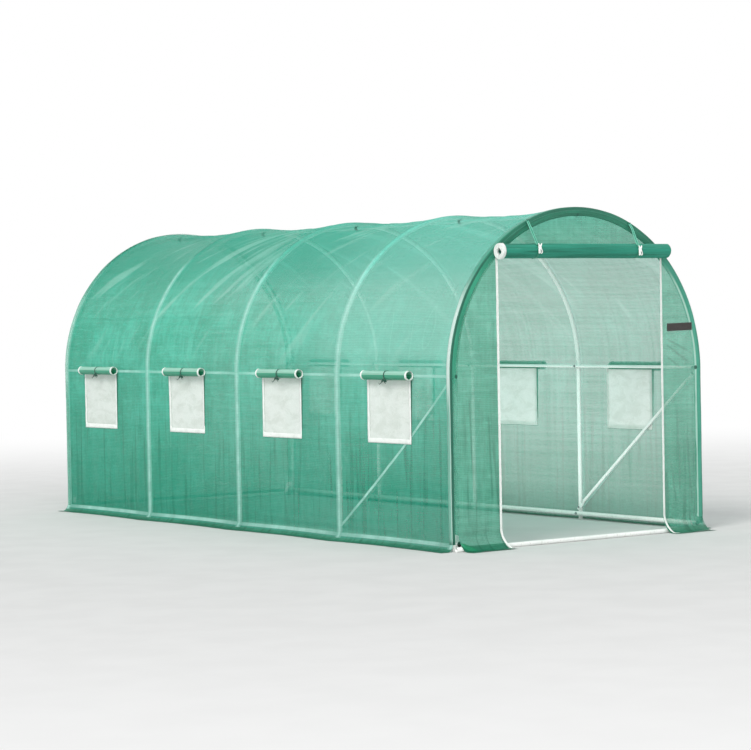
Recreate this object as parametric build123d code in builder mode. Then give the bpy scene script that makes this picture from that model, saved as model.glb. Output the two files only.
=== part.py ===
from build123d import *
import math
import os

os.makedirs("parts", exist_ok=True)

# Walk-in polytunnel: tube hoops under a sewn film cover.
# X is the width, -Y is the door end, +Z is up, and the ground is Z = 0.

# Hoops and rails
hoop_radius = 975.0
spring_height = 1010.0
bay_length = 1118.0
bay_count = 4
arch_facets = 30
tube_sides = 12
hoop_diameter = 28.0
rail_diameter = 20.0
ground_rail_diameter = 28.0
tube_wall = 1.5
crown_joint_angle = 42.0
mid_rail_height = 1015.0
side_ground_rail_height = 42.3
sill_overhang = 5.0
fit_gap = 0.3

# Corner braces
brace_diameter = 20.0
brace_tab_width = 26.0
brace_tab_thickness = 4.0
brace_tab_length = 45.0
brace_flattening = 40.0
brace_tab_gap = 6.0

# Film cover
film = 2.0
film_lap = 20.0
end_flare_height = 88.0
end_flare_outreach = 68.0
end_skirt_outreach = 130.0
side_flare_height = 45.0
side_flare_outreach = 35.0
side_skirt_outreach = 95.0
corner_notch = 65.0

# Hem bands over the end hoops
hem_film = 2.0
hem_face_width = 54.0
hem_wrap_width = 40.0

# Doorway
door_left = -629.0
door_right = 660.0
door_top_drop = 285.0
zip_width = 14.0
zip_tail = 8.0
tape = 1.2

# Rolled-up door
roll_diameter = 94.0
roll_rise = 38.0
roll_left = -657.0
roll_right = 681.0
roll_pitch = 9.0
roll_turns = 3
roll_sides = 16
roll_edge_length = 19.0

# Door ties
tie_left = -384.0
tie_right = 410.0
tie_top_drop = 80.0
tie_spacing = 9.0
tie_strand = 2.6
tie_sewn_length = 15.0
toggle_width = 30.0
toggle_height = 62.0
toggle_thickness = 6.0
toggle_slot_width = 14.0
toggle_slot_height = 14.0
toggle_bar = 8.0
toggle_drop = 2.0

# Roll-up windows
window_width = 420.0
window_height = 375.0
window_top_drop = 18.0
window_pitch = 1137.0
window_row_shift = 82.0
screen = 1.2
border_width = 20.0
window_roll_diameter = 60.0
window_roll_bore = 20.0
window_roll_length = 456.0
window_roll_shift = -20.0
window_roll_rise = 25.0
window_tie_width = 18.0
window_tie_tail = 46.0

# Derived places
half_frame = bay_length * bay_count / 2
hoop_half = hoop_diameter / 2
rail_half = rail_diameter / 2
ground_rail_half = ground_rail_diameter / 2
frame_end = half_frame + hoop_half
hoop_inner = hoop_radius - hoop_half
rail_offset = hoop_inner - fit_gap - rail_half
end_rail_reach = hoop_radius + sill_overhang
ground_rail_offset = hoop_inner - fit_gap - ground_rail_half
film_crest = hoop_radius + hoop_half + fit_gap
film_sag = film_crest - hoop_inner
end_film = frame_end + fit_gap
end_film_outer = end_film + film
end_panel_radius = film_crest - fit_gap
end_panel_bottom = end_flare_height + film_lap
wall_bottom = side_flare_height + film_lap
hem_face = end_film_outer + fit_gap
hem_front = hem_face + hem_film
hem_wrap = film_crest + film + fit_gap
hem_inner = hem_wrap + hem_film - hem_face_width
roll_radius = roll_diameter / 2
roll_place = -hem_front - fit_gap - roll_radius
hoop_places = [bay_length * i - half_frame for i in range(bay_count + 1)]

# Heights that follow the crown and the spring line
crown_height = spring_height + hoop_radius
door_top = crown_height - door_top_drop
roll_height = door_top + roll_rise
tie_top_height = crown_height - tie_top_drop
window_top = spring_height - window_top_drop
window_bottom = window_top - window_height
window_roll_height = window_top + window_roll_rise

# The arch is drawn with straight facets that touch its circle at their middles.
facet_angle = 180.0 / arch_facets
corner_angles = [facet_angle * (i + 0.5) for i in range(arch_facets)]


def corner_radius(radius):
    return radius / math.cos(math.radians(facet_angle / 2))


def arch_point(radius, angle):
    turn = math.radians(angle)
    return (radius * math.cos(turn), spring_height + radius * math.sin(turn))


def arch_line(radius, foot=spring_height):
    # Faceted arch from its right foot over the top to its left foot.
    corners = [arch_point(corner_radius(radius), angle) for angle in corner_angles]
    ends = [(radius, spring_height), (-radius, spring_height)]
    line = [ends[0], *corners, ends[1]]
    if foot < spring_height:
        line = [(radius, foot), *line, (-radius, foot)]
    return line


def seat_on_arch(reach, height):
    # Half width at which a piece that touches the hoops from inside lies at a height.
    rise = max(0, height - spring_height)
    return math.sqrt(reach**2 - rise**2)


def sag_line(crest):
    # Plan of the side film: on each hoop, and in to the rails between hoops.
    line = [(crest, -end_film_outer)]
    for start in hoop_places[:-1]:
        line.append((crest, start))
        line.append((crest - film_sag, start + bay_length / 3))
        line.append((crest - film_sag, start + bay_length * 2 / 3))
    return [*line, (crest, half_frame), (crest, end_film_outer)]


def side_strip(crest, thickness, sign):
    # Closed plan of a strip of cloth that follows the side film.
    inner = [(sign * x, y) for x, y in sag_line(crest)]
    outer = [(sign * x, y) for x, y in sag_line(crest + thickness)]
    return [*inner, *reversed(outer)]


def film_depth(place):
    # Distance from the middle plane to the inner face of the side film.
    from_hoop = (place + half_frame) % bay_length
    to_hoop = min(from_hoop, bay_length - from_hoop)
    return film_crest - film_sag * min(1, to_hoop / (bay_length / 3))


def skirt_profile(face, top, flare_height, flare_out, outreach, floor, thickness):
    # Cloth that hangs down, flares out and then lies flat on the floor.
    inner = [
        (face, top),
        (face, flare_height),
        (face + flare_out, floor),
        (face + outreach, floor),
    ]
    outer = [
        (face + thickness, top),
        (face + thickness, flare_height),
        (face + flare_out + thickness, floor + thickness),
        (face + outreach, floor + thickness),
    ]
    return [*inner, *reversed(outer)]


def hoop_plane(place, angle):
    # Plane across the hoop tube at an angle above the spring line.
    turn = math.radians(angle)
    on_corner = any(abs(angle - corner) < 1e-6 for corner in corner_angles)
    radius = corner_radius(hoop_radius) if on_corner else hoop_radius
    x, z = arch_point(radius, angle)
    return Plane(
        origin=(x, place, z),
        x_dir=(math.cos(turn), 0, math.sin(turn)),
        z_dir=(-math.sin(turn), 0, math.cos(turn)),
    )


# Hoops: two posts with their curved shoulders, and a crown tube between them.
shoulder_angles = [0, *[a for a in corner_angles if a < crown_joint_angle], crown_joint_angle]
crown_end_angle = 180 - crown_joint_angle
crown_corners = [a for a in corner_angles if crown_joint_angle < a < crown_end_angle]
crown_angles = [crown_joint_angle, *crown_corners, crown_end_angle]
hoop_names = ["front_hoop", "second_hoop", "middle_hoop", "fourth_hoop", "rear_hoop"]
for hoop_name, place in zip(hoop_names, hoop_places):
    with BuildPart() as post:
        with BuildSketch(Plane.XY):
            with Locations((hoop_radius, place)):
                RegularPolygon(hoop_half, tube_sides)
        for angle in shoulder_angles:
            with BuildSketch(hoop_plane(place, angle)):
                RegularPolygon(hoop_half, tube_sides)
        loft(ruled=True)
    with BuildPart() as crown:
        for angle in crown_angles:
            with BuildSketch(hoop_plane(place, angle)):
                RegularPolygon(hoop_half, tube_sides)
        loft(ruled=True)
    hoop = Compound(
        children=[post.part.solid(), crown.part.solid(), post.part.mirror(Plane.YZ).solid()]
    )
    hoop.label = hoop_name
    export_step(hoop, f"parts/{hoop_name}.step")

# Ridge rail, under the crowns.
with BuildPart() as ridge_rail:
    with BuildSketch(Plane.XZ.offset(-frame_end)):
        with Locations((0, spring_height + rail_offset)):
            RegularPolygon(rail_half, tube_sides)
            RegularPolygon(rail_half - tube_wall, tube_sides, mode=Mode.SUBTRACT)
    extrude(amount=2 * frame_end)
ridge_rail.part.label = "ridge_rail"
export_step(ridge_rail.part, "parts/ridge_rail.step")

# Roof film, one solid a bay, stretched over the hoops and sagging to the ridge rail.
roof_names = ["front_roof_film", "second_roof_film", "third_roof_film", "rear_roof_film"]
for roof_name, start in zip(roof_names, hoop_places[:-1]):
    end = start + bay_length
    trough = film_crest - film_sag
    stations = [
        (start, film_crest),
        (start + bay_length / 3, trough),
        (start + bay_length * 2 / 3, trough),
        (end, film_crest),
    ]
    if start == hoop_places[0]:
        stations = [(-end_film_outer, film_crest), *stations]
    if end == hoop_places[-1]:
        stations = [*stations, (end_film_outer, film_crest)]
    with BuildPart() as roof_film:
        for place, radius in stations:
            with BuildSketch(Plane.XZ.offset(-place)):
                Polygon(*arch_line(radius + film), *reversed(arch_line(radius)), align=None)
        loft(ruled=True)
    roof_film.part.label = roof_name
    export_step(roof_film.part, f"parts/{roof_name}.step")

# Rails, braces, side film, skirts and windows, each on both sides.
for side, sign in (("left", -1), ("right", 1)):
    with BuildPart() as mid_rail:
        with BuildSketch(Plane.XZ.offset(-frame_end)):
            with Locations((sign * seat_on_arch(rail_offset, mid_rail_height), mid_rail_height)):
                RegularPolygon(rail_half, tube_sides)
                RegularPolygon(rail_half - tube_wall, tube_sides, mode=Mode.SUBTRACT)
        extrude(amount=2 * frame_end)
    mid_rail.part.label = f"{side}_mid_rail"
    export_step(mid_rail.part, f"parts/{side}_mid_rail.step")

    with BuildPart() as ground_rail:
        with BuildSketch(Plane.XZ.offset(-frame_end)):
            with Locations((sign * ground_rail_offset, side_ground_rail_height)):
                RegularPolygon(ground_rail_half, tube_sides)
                RegularPolygon(ground_rail_half - tube_wall, tube_sides, mode=Mode.SUBTRACT)
        extrude(amount=2 * frame_end)
    ground_rail.part.label = f"{side}_ground_rail"
    export_step(ground_rail.part, f"parts/{side}_ground_rail.step")

    # Brace from the front post, under the mid rail, to the next post's foot.
    head_height = mid_rail_height - rail_half - brace_tab_gap - brace_tab_width / 2
    foot_height = (
        side_ground_rail_height + ground_rail_half + brace_tab_gap + brace_tab_width / 2
    )
    brace_half = brace_diameter / 2
    brace_offset = hoop_inner - fit_gap - brace_half
    head_offset = seat_on_arch(brace_offset, head_height + brace_tab_width / 2)
    brace_head = Vector(sign * head_offset, hoop_places[0], head_height)
    brace_foot = Vector(sign * brace_offset, hoop_places[1], foot_height)
    brace_run = brace_foot - brace_head
    brace_line = brace_run.normalized()
    brace_across = (Vector(1, 0, 0) - brace_line * brace_line.X).normalized()
    tab_shift = sign * (brace_half - brace_tab_thickness / 2)
    tab_face = sign * (brace_half - brace_tab_thickness)
    tube_start = brace_tab_length + brace_flattening
    tube_end = brace_run.length - tube_start
    tab_end = brace_run.length - brace_tab_length
    brace_plane = Plane(origin=brace_head, x_dir=brace_across, z_dir=brace_line)
    with BuildPart() as brace:
        with BuildSketch(brace_plane.offset(tube_start)):
            RegularPolygon(brace_half, tube_sides)
        extrude(amount=tube_end - tube_start)
        for near, far in ((tube_start, brace_tab_length), (tube_end, tab_end)):
            with BuildSketch(brace_plane.offset(near)):
                RegularPolygon(brace_half, tube_sides)
            with BuildSketch(brace_plane.offset(far)) as flat_end:
                RegularPolygon(brace_half, tube_sides)
                scale(
                    by=(brace_tab_thickness / brace_diameter, brace_tab_width / brace_diameter, 1),
                    mode=Mode.REPLACE,
                )
                add(flat_end.sketch_local.moved(Location((tab_shift, 0, 0))), mode=Mode.REPLACE)
            loft(ruled=True)
        for end, inward in ((brace_head, brace_line), (brace_foot, brace_line * -1)):
            tab_plane = Plane(
                origin=end + brace_across * tab_face, x_dir=inward, z_dir=brace_across * sign
            )
            with BuildSketch(tab_plane):
                RegularPolygon(brace_tab_width / 2, tube_sides)
                with Locations((brace_tab_length / 2, 0)):
                    Rectangle(brace_tab_length, brace_tab_width)
            extrude(amount=brace_tab_thickness)
    brace.part.label = f"{side}_brace"
    export_step(brace.part, f"parts/{side}_brace.step")

    # Side film, sagging in to the rails in each bay, with its windows cut out.
    window_middle = (window_top + window_bottom) / 2
    window_plane = Plane(
        origin=(0, window_row_shift, window_middle), x_dir=(0, 1, 0), z_dir=(sign, 0, 0)
    )
    wall_reach = film_crest + window_roll_diameter
    with BuildPart() as wall_film:
        with BuildSketch(Plane.XY.offset(wall_bottom)):
            Polygon(*side_strip(film_crest, film, sign), align=None)
        extrude(amount=spring_height - wall_bottom)
        with BuildSketch(window_plane):
            with GridLocations(window_pitch, 0, bay_count, 1):
                Rectangle(window_width, window_height)
        extrude(amount=wall_reach, mode=Mode.SUBTRACT)
    wall_film.part.label = f"{side}_wall_film"
    export_step(wall_film.part, f"parts/{side}_wall_film.step")

    # Insect screens that close the windows.
    with BuildPart() as screens:
        with BuildSketch(Plane.XY.offset(window_bottom)):
            Polygon(*side_strip(film_crest + (film - screen) / 2, screen, sign), align=None)
        extrude(amount=spring_height - window_bottom)
        with BuildSketch(window_plane):
            with GridLocations(window_pitch, 0, bay_count, 1):
                Rectangle(window_width, window_height)
        extrude(amount=wall_reach, mode=Mode.INTERSECT)
    screens.part.label = f"{side}_window_screens"
    export_step(screens.part, f"parts/{side}_window_screens.step")

    # Tape sewn around each window on the outside.
    with BuildPart() as borders:
        with BuildSketch(Plane.XY.offset(window_bottom - border_width)):
            Polygon(*side_strip(film_crest + film + fit_gap, tape, sign), align=None)
        extrude(amount=spring_height - window_bottom + border_width)
        with BuildSketch(window_plane):
            with GridLocations(window_pitch, 0, bay_count, 1):
                Rectangle(window_width + 2 * border_width, window_height + 2 * border_width)
                Rectangle(window_width, window_height, mode=Mode.SUBTRACT)
        extrude(amount=wall_reach, mode=Mode.INTERSECT)
    borders.part.label = f"{side}_window_borders"
    export_step(borders.part, f"parts/{side}_window_borders.step")
    # Skirt of the side film, out over the ground.
    with BuildPart() as skirt:
        for crest, place in sag_line(film_crest):
            profile = skirt_profile(
                crest,
                wall_bottom,
                side_flare_height,
                side_flare_outreach,
                side_skirt_outreach,
                0,
                film,
            )
            with BuildSketch(Plane.XZ.offset(-place)):
                Polygon(*[(sign * x, z) for x, z in profile], align=None)
        loft(ruled=True)
    skirt.part.label = f"{side}_skirt"
    export_step(skirt.part, f"parts/{side}_skirt.step")

    # Window flaps rolled up above the screens, and the ties that hold them.
    window_roll_radius = window_roll_diameter / 2
    roll_middle = window_row_shift + window_roll_shift
    roll_places = [
        roll_middle + window_pitch * (i - (bay_count - 1) / 2) for i in range(bay_count)
    ]
    roll_seats = []
    for place in roll_places:
        roll_ends = (place - window_roll_length / 2, place + window_roll_length / 2)
        seat = max(film_depth(roll_end) for roll_end in roll_ends) + film + fit_gap
        roll_seats.append((seat + window_roll_radius, place))
    with BuildPart() as window_rolls:
        for roll_x, place in roll_seats:
            with BuildSketch(Plane.XZ.offset(-place - window_roll_length / 2)):
                with Locations((sign * roll_x, window_roll_height)):
                    RegularPolygon(window_roll_radius, roll_sides)
                    RegularPolygon(window_roll_bore / 2, roll_sides // 2, mode=Mode.SUBTRACT)
            extrude(amount=window_roll_length)
    window_rolls.part.label = f"{side}_window_rolls"
    export_step(window_rolls.part, f"parts/{side}_window_rolls.step")

    with BuildPart() as window_ties:
        for roll_x, place in roll_seats:
            with BuildSketch(Plane.XZ.offset(-place - window_tie_width / 2)):
                tie_inner = window_roll_radius + fit_gap
                with Locations((sign * roll_x, window_roll_height)):
                    RegularPolygon(tie_inner + tape, roll_sides)
                    with Locations((0, -tie_inner - window_tie_tail / 2)):
                        Rectangle(tape, window_tie_tail)
                    RegularPolygon(tie_inner, roll_sides, mode=Mode.SUBTRACT)
            extrude(amount=window_tie_width)
    window_ties.part.label = f"{side}_window_ties"
    export_step(window_ties.part, f"parts/{side}_window_ties.step")

# Front film: a panel on each side of the doorway and one over it.
panel_outline = arch_line(end_panel_radius, end_panel_bottom)
front_panels = {
    "front_left_panel": (-end_panel_radius, door_left, end_panel_bottom, door_top),
    "front_right_panel": (door_right, end_panel_radius, end_panel_bottom, door_top),
    "front_top_panel": (
        -end_panel_radius,
        end_panel_radius,
        door_top,
        spring_height + end_panel_radius,
    ),
}
for panel_name, (low_x, high_x, low_z, high_z) in front_panels.items():
    with BuildPart() as front_panel:
        with BuildSketch(Plane.XZ.offset(end_film)):
            Polygon(*panel_outline, align=None)
            with Locations(((low_x + high_x) / 2, (low_z + high_z) / 2)):
                Rectangle(high_x - low_x, high_z - low_z, mode=Mode.INTERSECT)
        extrude(amount=film)
    front_panel.part.label = panel_name
    export_step(front_panel.part, f"parts/{panel_name}.step")

# Rear film, closed.
with BuildPart() as rear_panel:
    with BuildSketch(Plane.XZ.offset(-end_film_outer)):
        Polygon(*panel_outline, align=None)
    extrude(amount=film)
rear_panel.part.label = "rear_panel"
export_step(rear_panel.part, "parts/rear_panel.step")

# End skirts, flared over the sill rails. Their outer corners stay open at the feet.
end_skirts = {
    "front_left_skirt": (-1, -end_panel_radius + corner_notch, door_left),
    "front_right_skirt": (-1, door_right, end_panel_radius),
    "rear_skirt": (1, -end_panel_radius + corner_notch, end_panel_radius - corner_notch),
}
end_profile = skirt_profile(
    end_film,
    end_panel_bottom,
    end_flare_height,
    end_flare_outreach,
    end_skirt_outreach,
    0,
    film,
)
for skirt_name, (end_sign, low_x, high_x) in end_skirts.items():
    with BuildPart() as end_skirt:
        with BuildSketch(Plane.YZ.offset(low_x)):
            Polygon(*[(end_sign * y, z) for y, z in end_profile], align=None)
        extrude(amount=high_x - low_x)
    end_skirt.part.label = skirt_name
    export_step(end_skirt.part, f"parts/{skirt_name}.step")

# Hem bands: a face strip and a wrap that folds back over the side and roof film.
face_outer = arch_line(hem_wrap + hem_film, end_panel_bottom)
face_inner = arch_line(hem_inner, end_panel_bottom)
wrap_inner = arch_line(hem_wrap, end_panel_bottom)
with BuildPart() as front_hem:
    with BuildSketch(Plane.XZ.offset(hem_face)):
        Polygon(*face_outer, *reversed(face_inner), align=None)
    extrude(amount=hem_film)
    with BuildSketch(Plane.XZ.offset(hem_front - hem_wrap_width)):
        Polygon(*face_outer, *reversed(wrap_inner), align=None)
    extrude(amount=hem_wrap_width)
for hem_name, hem in (
    ("front_hem_band", front_hem.part),
    ("rear_hem_band", front_hem.part.mirror(Plane.XZ)),
):
    hem.label = hem_name
    export_step(hem, f"parts/{hem_name}.step")

# Zip tapes down both edges of the doorway and out over the skirts.
zip_reach = max(door_right, -door_left) + zip_width
zip_top = min(door_top, spring_height + math.sqrt(hem_inner**2 - zip_reach**2) - fit_gap)
zip_profile = skirt_profile(
    end_film_outer + fit_gap,
    zip_top,
    end_flare_height,
    end_flare_outreach,
    end_flare_outreach + zip_tail,
    film + fit_gap,
    tape,
)
with BuildPart() as zip_tapes:
    for low_x in (door_left - zip_width, door_right):
        with BuildSketch(Plane.YZ.offset(low_x)):
            Polygon(*[(-y, z) for y, z in zip_profile], align=None)
        extrude(amount=zip_width)
zip_tapes.part.label = "door_zip_tapes"
export_step(zip_tapes.part, "parts/door_zip_tapes.step")

# Door film rolled up over the doorway, from its seam up and round to the core.
roll_line = []
for step in range(roll_turns * roll_sides + 1):
    turn = 2 * math.pi * step / roll_sides
    reach = roll_radius - roll_pitch * step / roll_sides
    roll_line.append((reach, turn))
roll_outside = [(r * math.cos(t), r * math.sin(t)) for r, t in roll_line]
roll_inside = [((r - film) * math.cos(t), (r - film) * math.sin(t)) for r, t in roll_line]
seam_drop = door_top - roll_height
roll_profile = [
    (roll_radius, seam_drop),
    *roll_outside,
    *reversed(roll_inside),
    (roll_radius - film, seam_drop),
]
roll_start = roll_left + roll_edge_length
with BuildPart() as door_roll:
    with BuildSketch(Plane.YZ.offset(roll_start)):
        Polygon(*[(roll_place + y, roll_height + z) for y, z in roll_profile], align=None)
    extrude(amount=roll_right - roll_start)
door_roll.part.label = "door_roll"
export_step(door_roll.part, "parts/door_roll.step")

with BuildPart() as roll_edge:
    with BuildSketch(Plane.YZ.offset(roll_left)):
        Polygon(*[(roll_place + y, roll_height + z) for y, z in roll_profile], align=None)
    extrude(amount=roll_edge_length)
roll_edge.part.label = "door_roll_edge"
export_step(roll_edge.part, "parts/door_roll_edge.step")

# Slotted toggles on the front of the roll.
toggle_back = roll_place - roll_radius - fit_gap
toggle_top = roll_height + roll_radius + toggle_drop
toggle_middle = toggle_top - toggle_height / 2
slot_rise = toggle_height / 2 - toggle_bar - toggle_slot_height / 2
with BuildPart() as toggles:
    with BuildSketch(Plane.XZ.offset(-toggle_back)):
        with Locations((tie_left, toggle_middle), (tie_right, toggle_middle)):
            Rectangle(toggle_width, toggle_height)
            with Locations((0, slot_rise), (0, -slot_rise)):
                Rectangle(toggle_slot_width, toggle_slot_height, mode=Mode.SUBTRACT)
    extrude(amount=toggle_thickness)
    chamfer(toggles.edges().filter_by(Axis.Y).group_by(Axis.Z)[-1], toggle_bar / 2)
    chamfer(toggles.edges().filter_by(Axis.Y).group_by(Axis.Z)[0], toggle_bar / 2)
toggles.part.label = "door_toggles"
export_step(toggles.part, "parts/door_toggles.step")

# Doubled ties, from the hem band down to the upper slots of the toggles.
tie_back = -hem_front - fit_gap
tie_end_y = toggle_back - toggle_thickness
tie_end_z = toggle_middle + slot_rise - toggle_slot_height / 2 + tie_strand
tie_profile = [
    (tie_back, tie_top_height + tie_sewn_length),
    (tie_back, tie_top_height),
    (tie_end_y, tie_end_z - tie_strand / 2),
    (tie_end_y, tie_end_z + tie_strand / 2),
    (tie_back - tie_strand, tie_top_height + tie_strand / 2),
    (tie_back - tie_strand, tie_top_height + tie_sewn_length),
]
with BuildPart() as door_ties:
    for tie_place in (tie_left, tie_right):
        for strand_place in (-tie_spacing / 2, tie_spacing / 2):
            with BuildSketch(Plane.YZ.offset(tie_place + strand_place - tie_strand / 2)):
                Polygon(*tie_profile, align=None)
            extrude(amount=tie_strand)
door_ties.part.label = "door_ties"
export_step(door_ties.part, "parts/door_ties.step")

# Sill rails, on the ground outside the end posts and under the flared skirts.
for end_name, end_sign in (("front", -1), ("rear", 1)):
    sill_place = end_sign * (end_film + ground_rail_half)
    with BuildPart() as sill_rail:
        with BuildSketch(Plane.YZ.offset(-end_rail_reach)):
            with Locations((sill_place, ground_rail_half)):
                RegularPolygon(ground_rail_half, tube_sides)
                RegularPolygon(ground_rail_half - tube_wall, tube_sides, mode=Mode.SUBTRACT)
        extrude(amount=2 * end_rail_reach)
    sill_rail.part.label = f"{end_name}_sill_rail"
    export_step(sill_rail.part, f"parts/{end_name}_sill_rail.step")
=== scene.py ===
import itertools
import math

import bpy
import numpy as np
from mathutils import Matrix, Vector


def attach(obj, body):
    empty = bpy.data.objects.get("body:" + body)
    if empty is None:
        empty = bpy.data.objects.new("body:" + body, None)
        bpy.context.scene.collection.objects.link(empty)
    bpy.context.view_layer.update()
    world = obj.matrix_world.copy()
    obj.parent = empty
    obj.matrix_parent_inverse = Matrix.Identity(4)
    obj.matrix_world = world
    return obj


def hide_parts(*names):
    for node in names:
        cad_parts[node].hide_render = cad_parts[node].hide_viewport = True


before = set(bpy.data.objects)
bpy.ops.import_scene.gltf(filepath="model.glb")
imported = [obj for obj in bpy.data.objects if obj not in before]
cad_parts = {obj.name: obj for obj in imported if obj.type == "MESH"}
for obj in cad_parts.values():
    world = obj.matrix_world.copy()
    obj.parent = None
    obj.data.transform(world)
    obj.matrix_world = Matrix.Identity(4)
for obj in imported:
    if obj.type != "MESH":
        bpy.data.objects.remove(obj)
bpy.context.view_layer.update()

# ---------------------------------------------------------------- sizes, in metres
SPRING = 1.010  # height where the hoops start to bend
HOOP_R = 0.975  # radius of the hoop's own axis
TUBE = 0.014
TUBE_WALL = 0.0013
BAY = 1.118
HALF = 2.236  # from the middle hoop to an end hoop
FILM_R = 0.9903  # film over a hoop
SAG = 0.0283  # how far it comes in between two hoops
END_Y = 2.2513  # plane of the end films
PANEL_R = 0.9893
SIDE_LEN = 2.2523
SIDE_FOOT, END_FOOT = 0.065, 0.108  # where the film leaves the wall for the ground
DOOR_L, DOOR_R, DOOR_TOP = -0.629, 0.660, 1.700
WIN_Y = [-1.6235, -0.4865, 0.6505, 1.7875]
WIN_HALF, WIN_LOW, WIN_HIGH = 0.210, 0.617, 0.992
RAIL_X, RAIL_Z, RAIL_R = 0.9507, 1.015, 0.010
GROUND_X, GROUND_Z = 0.9467, 0.0423
RIDGE_Z = 1.9607
HOOPS = [-HALF + BAY * i for i in range(5)]
ROLL_Y, ROLL_Z, ROLL_R = -2.3019, 1.738, 0.0466
TIE_X = (-0.384, 0.410)
WROLL_Z, WROLL_R, WROLL_LEN, WROLL_SHIFT = 1.017, 0.030, 0.456, -0.020
WROLL_X = (0.9990, 1.0005, 1.0019, 1.0033)
THREAD = 0.0105  # between the film's reinforcing threads
SIDES = (("left", -1), ("right", 1))


# ---------------------------------------------------------------- small tools
def soft_noise(u, v, seed, size=64):
    """Smooth random field, from -1 to 1, with features one unit of u and v across."""
    table = np.random.default_rng(seed).uniform(-1, 1, (size, size))
    iu, iv = np.floor(u).astype(int), np.floor(v).astype(int)
    fu, fv = u - iu, v - iv
    fu, fv = fu**3 * (fu * (6 * fu - 15) + 10), fv**3 * (fv * (6 * fv - 15) + 10)
    a, b, c, d = (table[(iu + i) % size, (iv + j) % size] for j in (0, 1) for i in (0, 1))
    return (a * (1 - fu) + b * fu) * (1 - fv) + (c * (1 - fu) + d * fu) * fv


def up_noise(u, v, seed):
    """The same field from 0 to 1."""
    return 0.5 + 0.5 * soft_noise(u, v, seed)


def smooth(x, low, high):
    t = np.clip((np.asarray(x, float) - low) / (high - low), 0, 1)
    return t * t * (3 - 2 * t)


def unit(v):
    return v / np.linalg.norm(v, axis=-1, keepdims=True)


def lengths(path):
    """Distance from the start at each point of a path."""
    return np.concatenate([[0], np.cumsum(np.linalg.norm(np.diff(path, axis=0), axis=1))])


def lines(marks, step):
    """Grid lines that pass through each mark, about step apart."""
    out = [marks[0]]
    for a, b in zip(marks[:-1], marks[1:]):
        n = max(1, round((b - a) / step))
        out += [a + (b - a) * (i + 1) / n for i in range(n)]
    return np.array(out)


def curve_through(points, count):
    """A smooth path through a few points."""
    p = np.array([points[0], *points, points[-1]], float)
    out = []
    for a, b, c, d in zip(p, p[1:], p[2:], p[3:]):
        for t in np.linspace(0, 1, max(2, count // (len(points) - 1)), endpoint=False):
            square, cube = 2 * a - 5 * b + 4 * c - d, 3 * b - a - 3 * c + d
            out.append(0.5 * (2 * b + (c - a) * t + square * t**2 + cube * t**3))
    return np.array(out + [p[-2]])


def spiral(start, pitch, turns, per_turn):
    """Angles, radii and lengths along a coil that winds inwards from a radius of start."""
    angle = np.linspace(0, 2 * math.pi * turns, int(turns * per_turn) + 1)
    radius = start - pitch * angle / (2 * math.pi)
    steps = np.hypot(np.diff(radius), radius[1:] * np.diff(angle))
    return angle, radius, np.concatenate([[0], np.cumsum(steps)])


def grid(rows, cols, loop=False):
    """Faces between rows of cols points, joined round where loop is set."""
    return [
        (i * cols + j, i * cols + (j + 1) % cols, (i + 1) * cols + (j + 1) % cols, (i + 1) * cols + j)
        for i in range(rows - 1)
        for j in range(cols if loop else cols - 1)
    ]


def closed(rows, cols):
    """Faces of a bar with closed ends, from rings of cols points."""
    ends = [tuple(range(cols))[::-1], tuple(range((rows - 1) * cols, rows * cols))]
    return grid(rows, cols, True) + ends


def rim_of(rows, cols):
    """The outline of a grid of points, once round."""
    last = (rows - 1) * cols
    ahead = [*range(cols), *range(2 * cols - 1, rows * cols, cols)]
    return ahead + [*range(last + cols - 2, last - 1, -1), *range(last - cols, 0, -cols)]


def add_piece(name, points, faces, material, shade=True, uv=None):
    mesh = bpy.data.meshes.new(name)
    mesh.from_pydata([tuple(map(float, p)) for p in points], [], [tuple(map(int, f)) for f in faces])
    mesh.materials.append(material)
    if shade:
        mesh.polygons.foreach_set("use_smooth", [True] * len(mesh.polygons))
    if uv is not None:
        layer = mesh.uv_layers.new(name="cloth")
        loops = np.empty(len(mesh.loops), int)
        mesh.loops.foreach_get("vertex_index", loops)
        layer.data.foreach_set("uv", np.asarray(uv, float)[loops].ravel())
    mesh.validate()
    mesh.update()
    piece = bpy.data.objects.new(name, mesh)
    bpy.context.scene.collection.objects.link(piece)
    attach(piece, "root")
    return piece


def film_piece(name, pos, uv, faces, material, skirt_top):
    """A sheet without its unused points, in the skirt's material below skirt_top."""
    used = np.zeros(pos.size // 3, bool)
    used[np.array(faces).ravel()] = True
    index = np.cumsum(used) - 1
    points = pos.reshape(-1, 3)[used]
    piece = add_piece(name, points, index[np.array(faces)], material, uv=uv.reshape(-1, 2)[used])
    piece.data.materials.append(SKIRT_SHADE)
    for polygon in piece.data.polygons:
        if max(points[k, 2] for k in polygon.vertices) < skirt_top:
            polygon.material_index = 1
    return piece


class Batch:
    """Collects several bits of mesh that make one piece."""

    def __init__(self):
        self.points, self.faces, self.uv, self.count = [], [], [], 0

    def add(self, points, faces, uv=None):
        points = np.asarray(points, float)
        self.points.append(points)
        self.faces += [tuple(i + self.count for i in f) for f in faces]
        self.uv.append(np.zeros((len(points), 2)) if uv is None else np.asarray(uv, float))
        self.count += len(points)

    def piece(self, name, material, shade=True):
        points, uv = np.vstack(self.points), np.vstack(self.uv)
        return add_piece(name, points, self.faces, material, shade, uv)


def frames_along(path):
    """A path with two sideways directions at each point that don't twist."""
    path = np.asarray(path, float)
    ahead = unit(np.gradient(path, axis=0))
    side = np.cross(ahead[0], [0, 1, 0])
    if np.linalg.norm(side) < 0.3:
        side = np.cross(ahead[0], [0, 0, 1])
    side = unit(side)
    sides = []
    for a in ahead:
        side = unit(side - a * side.dot(a))
        sides.append(side)
    sides = np.array(sides)
    return path, sides, np.cross(ahead, sides)


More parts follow.
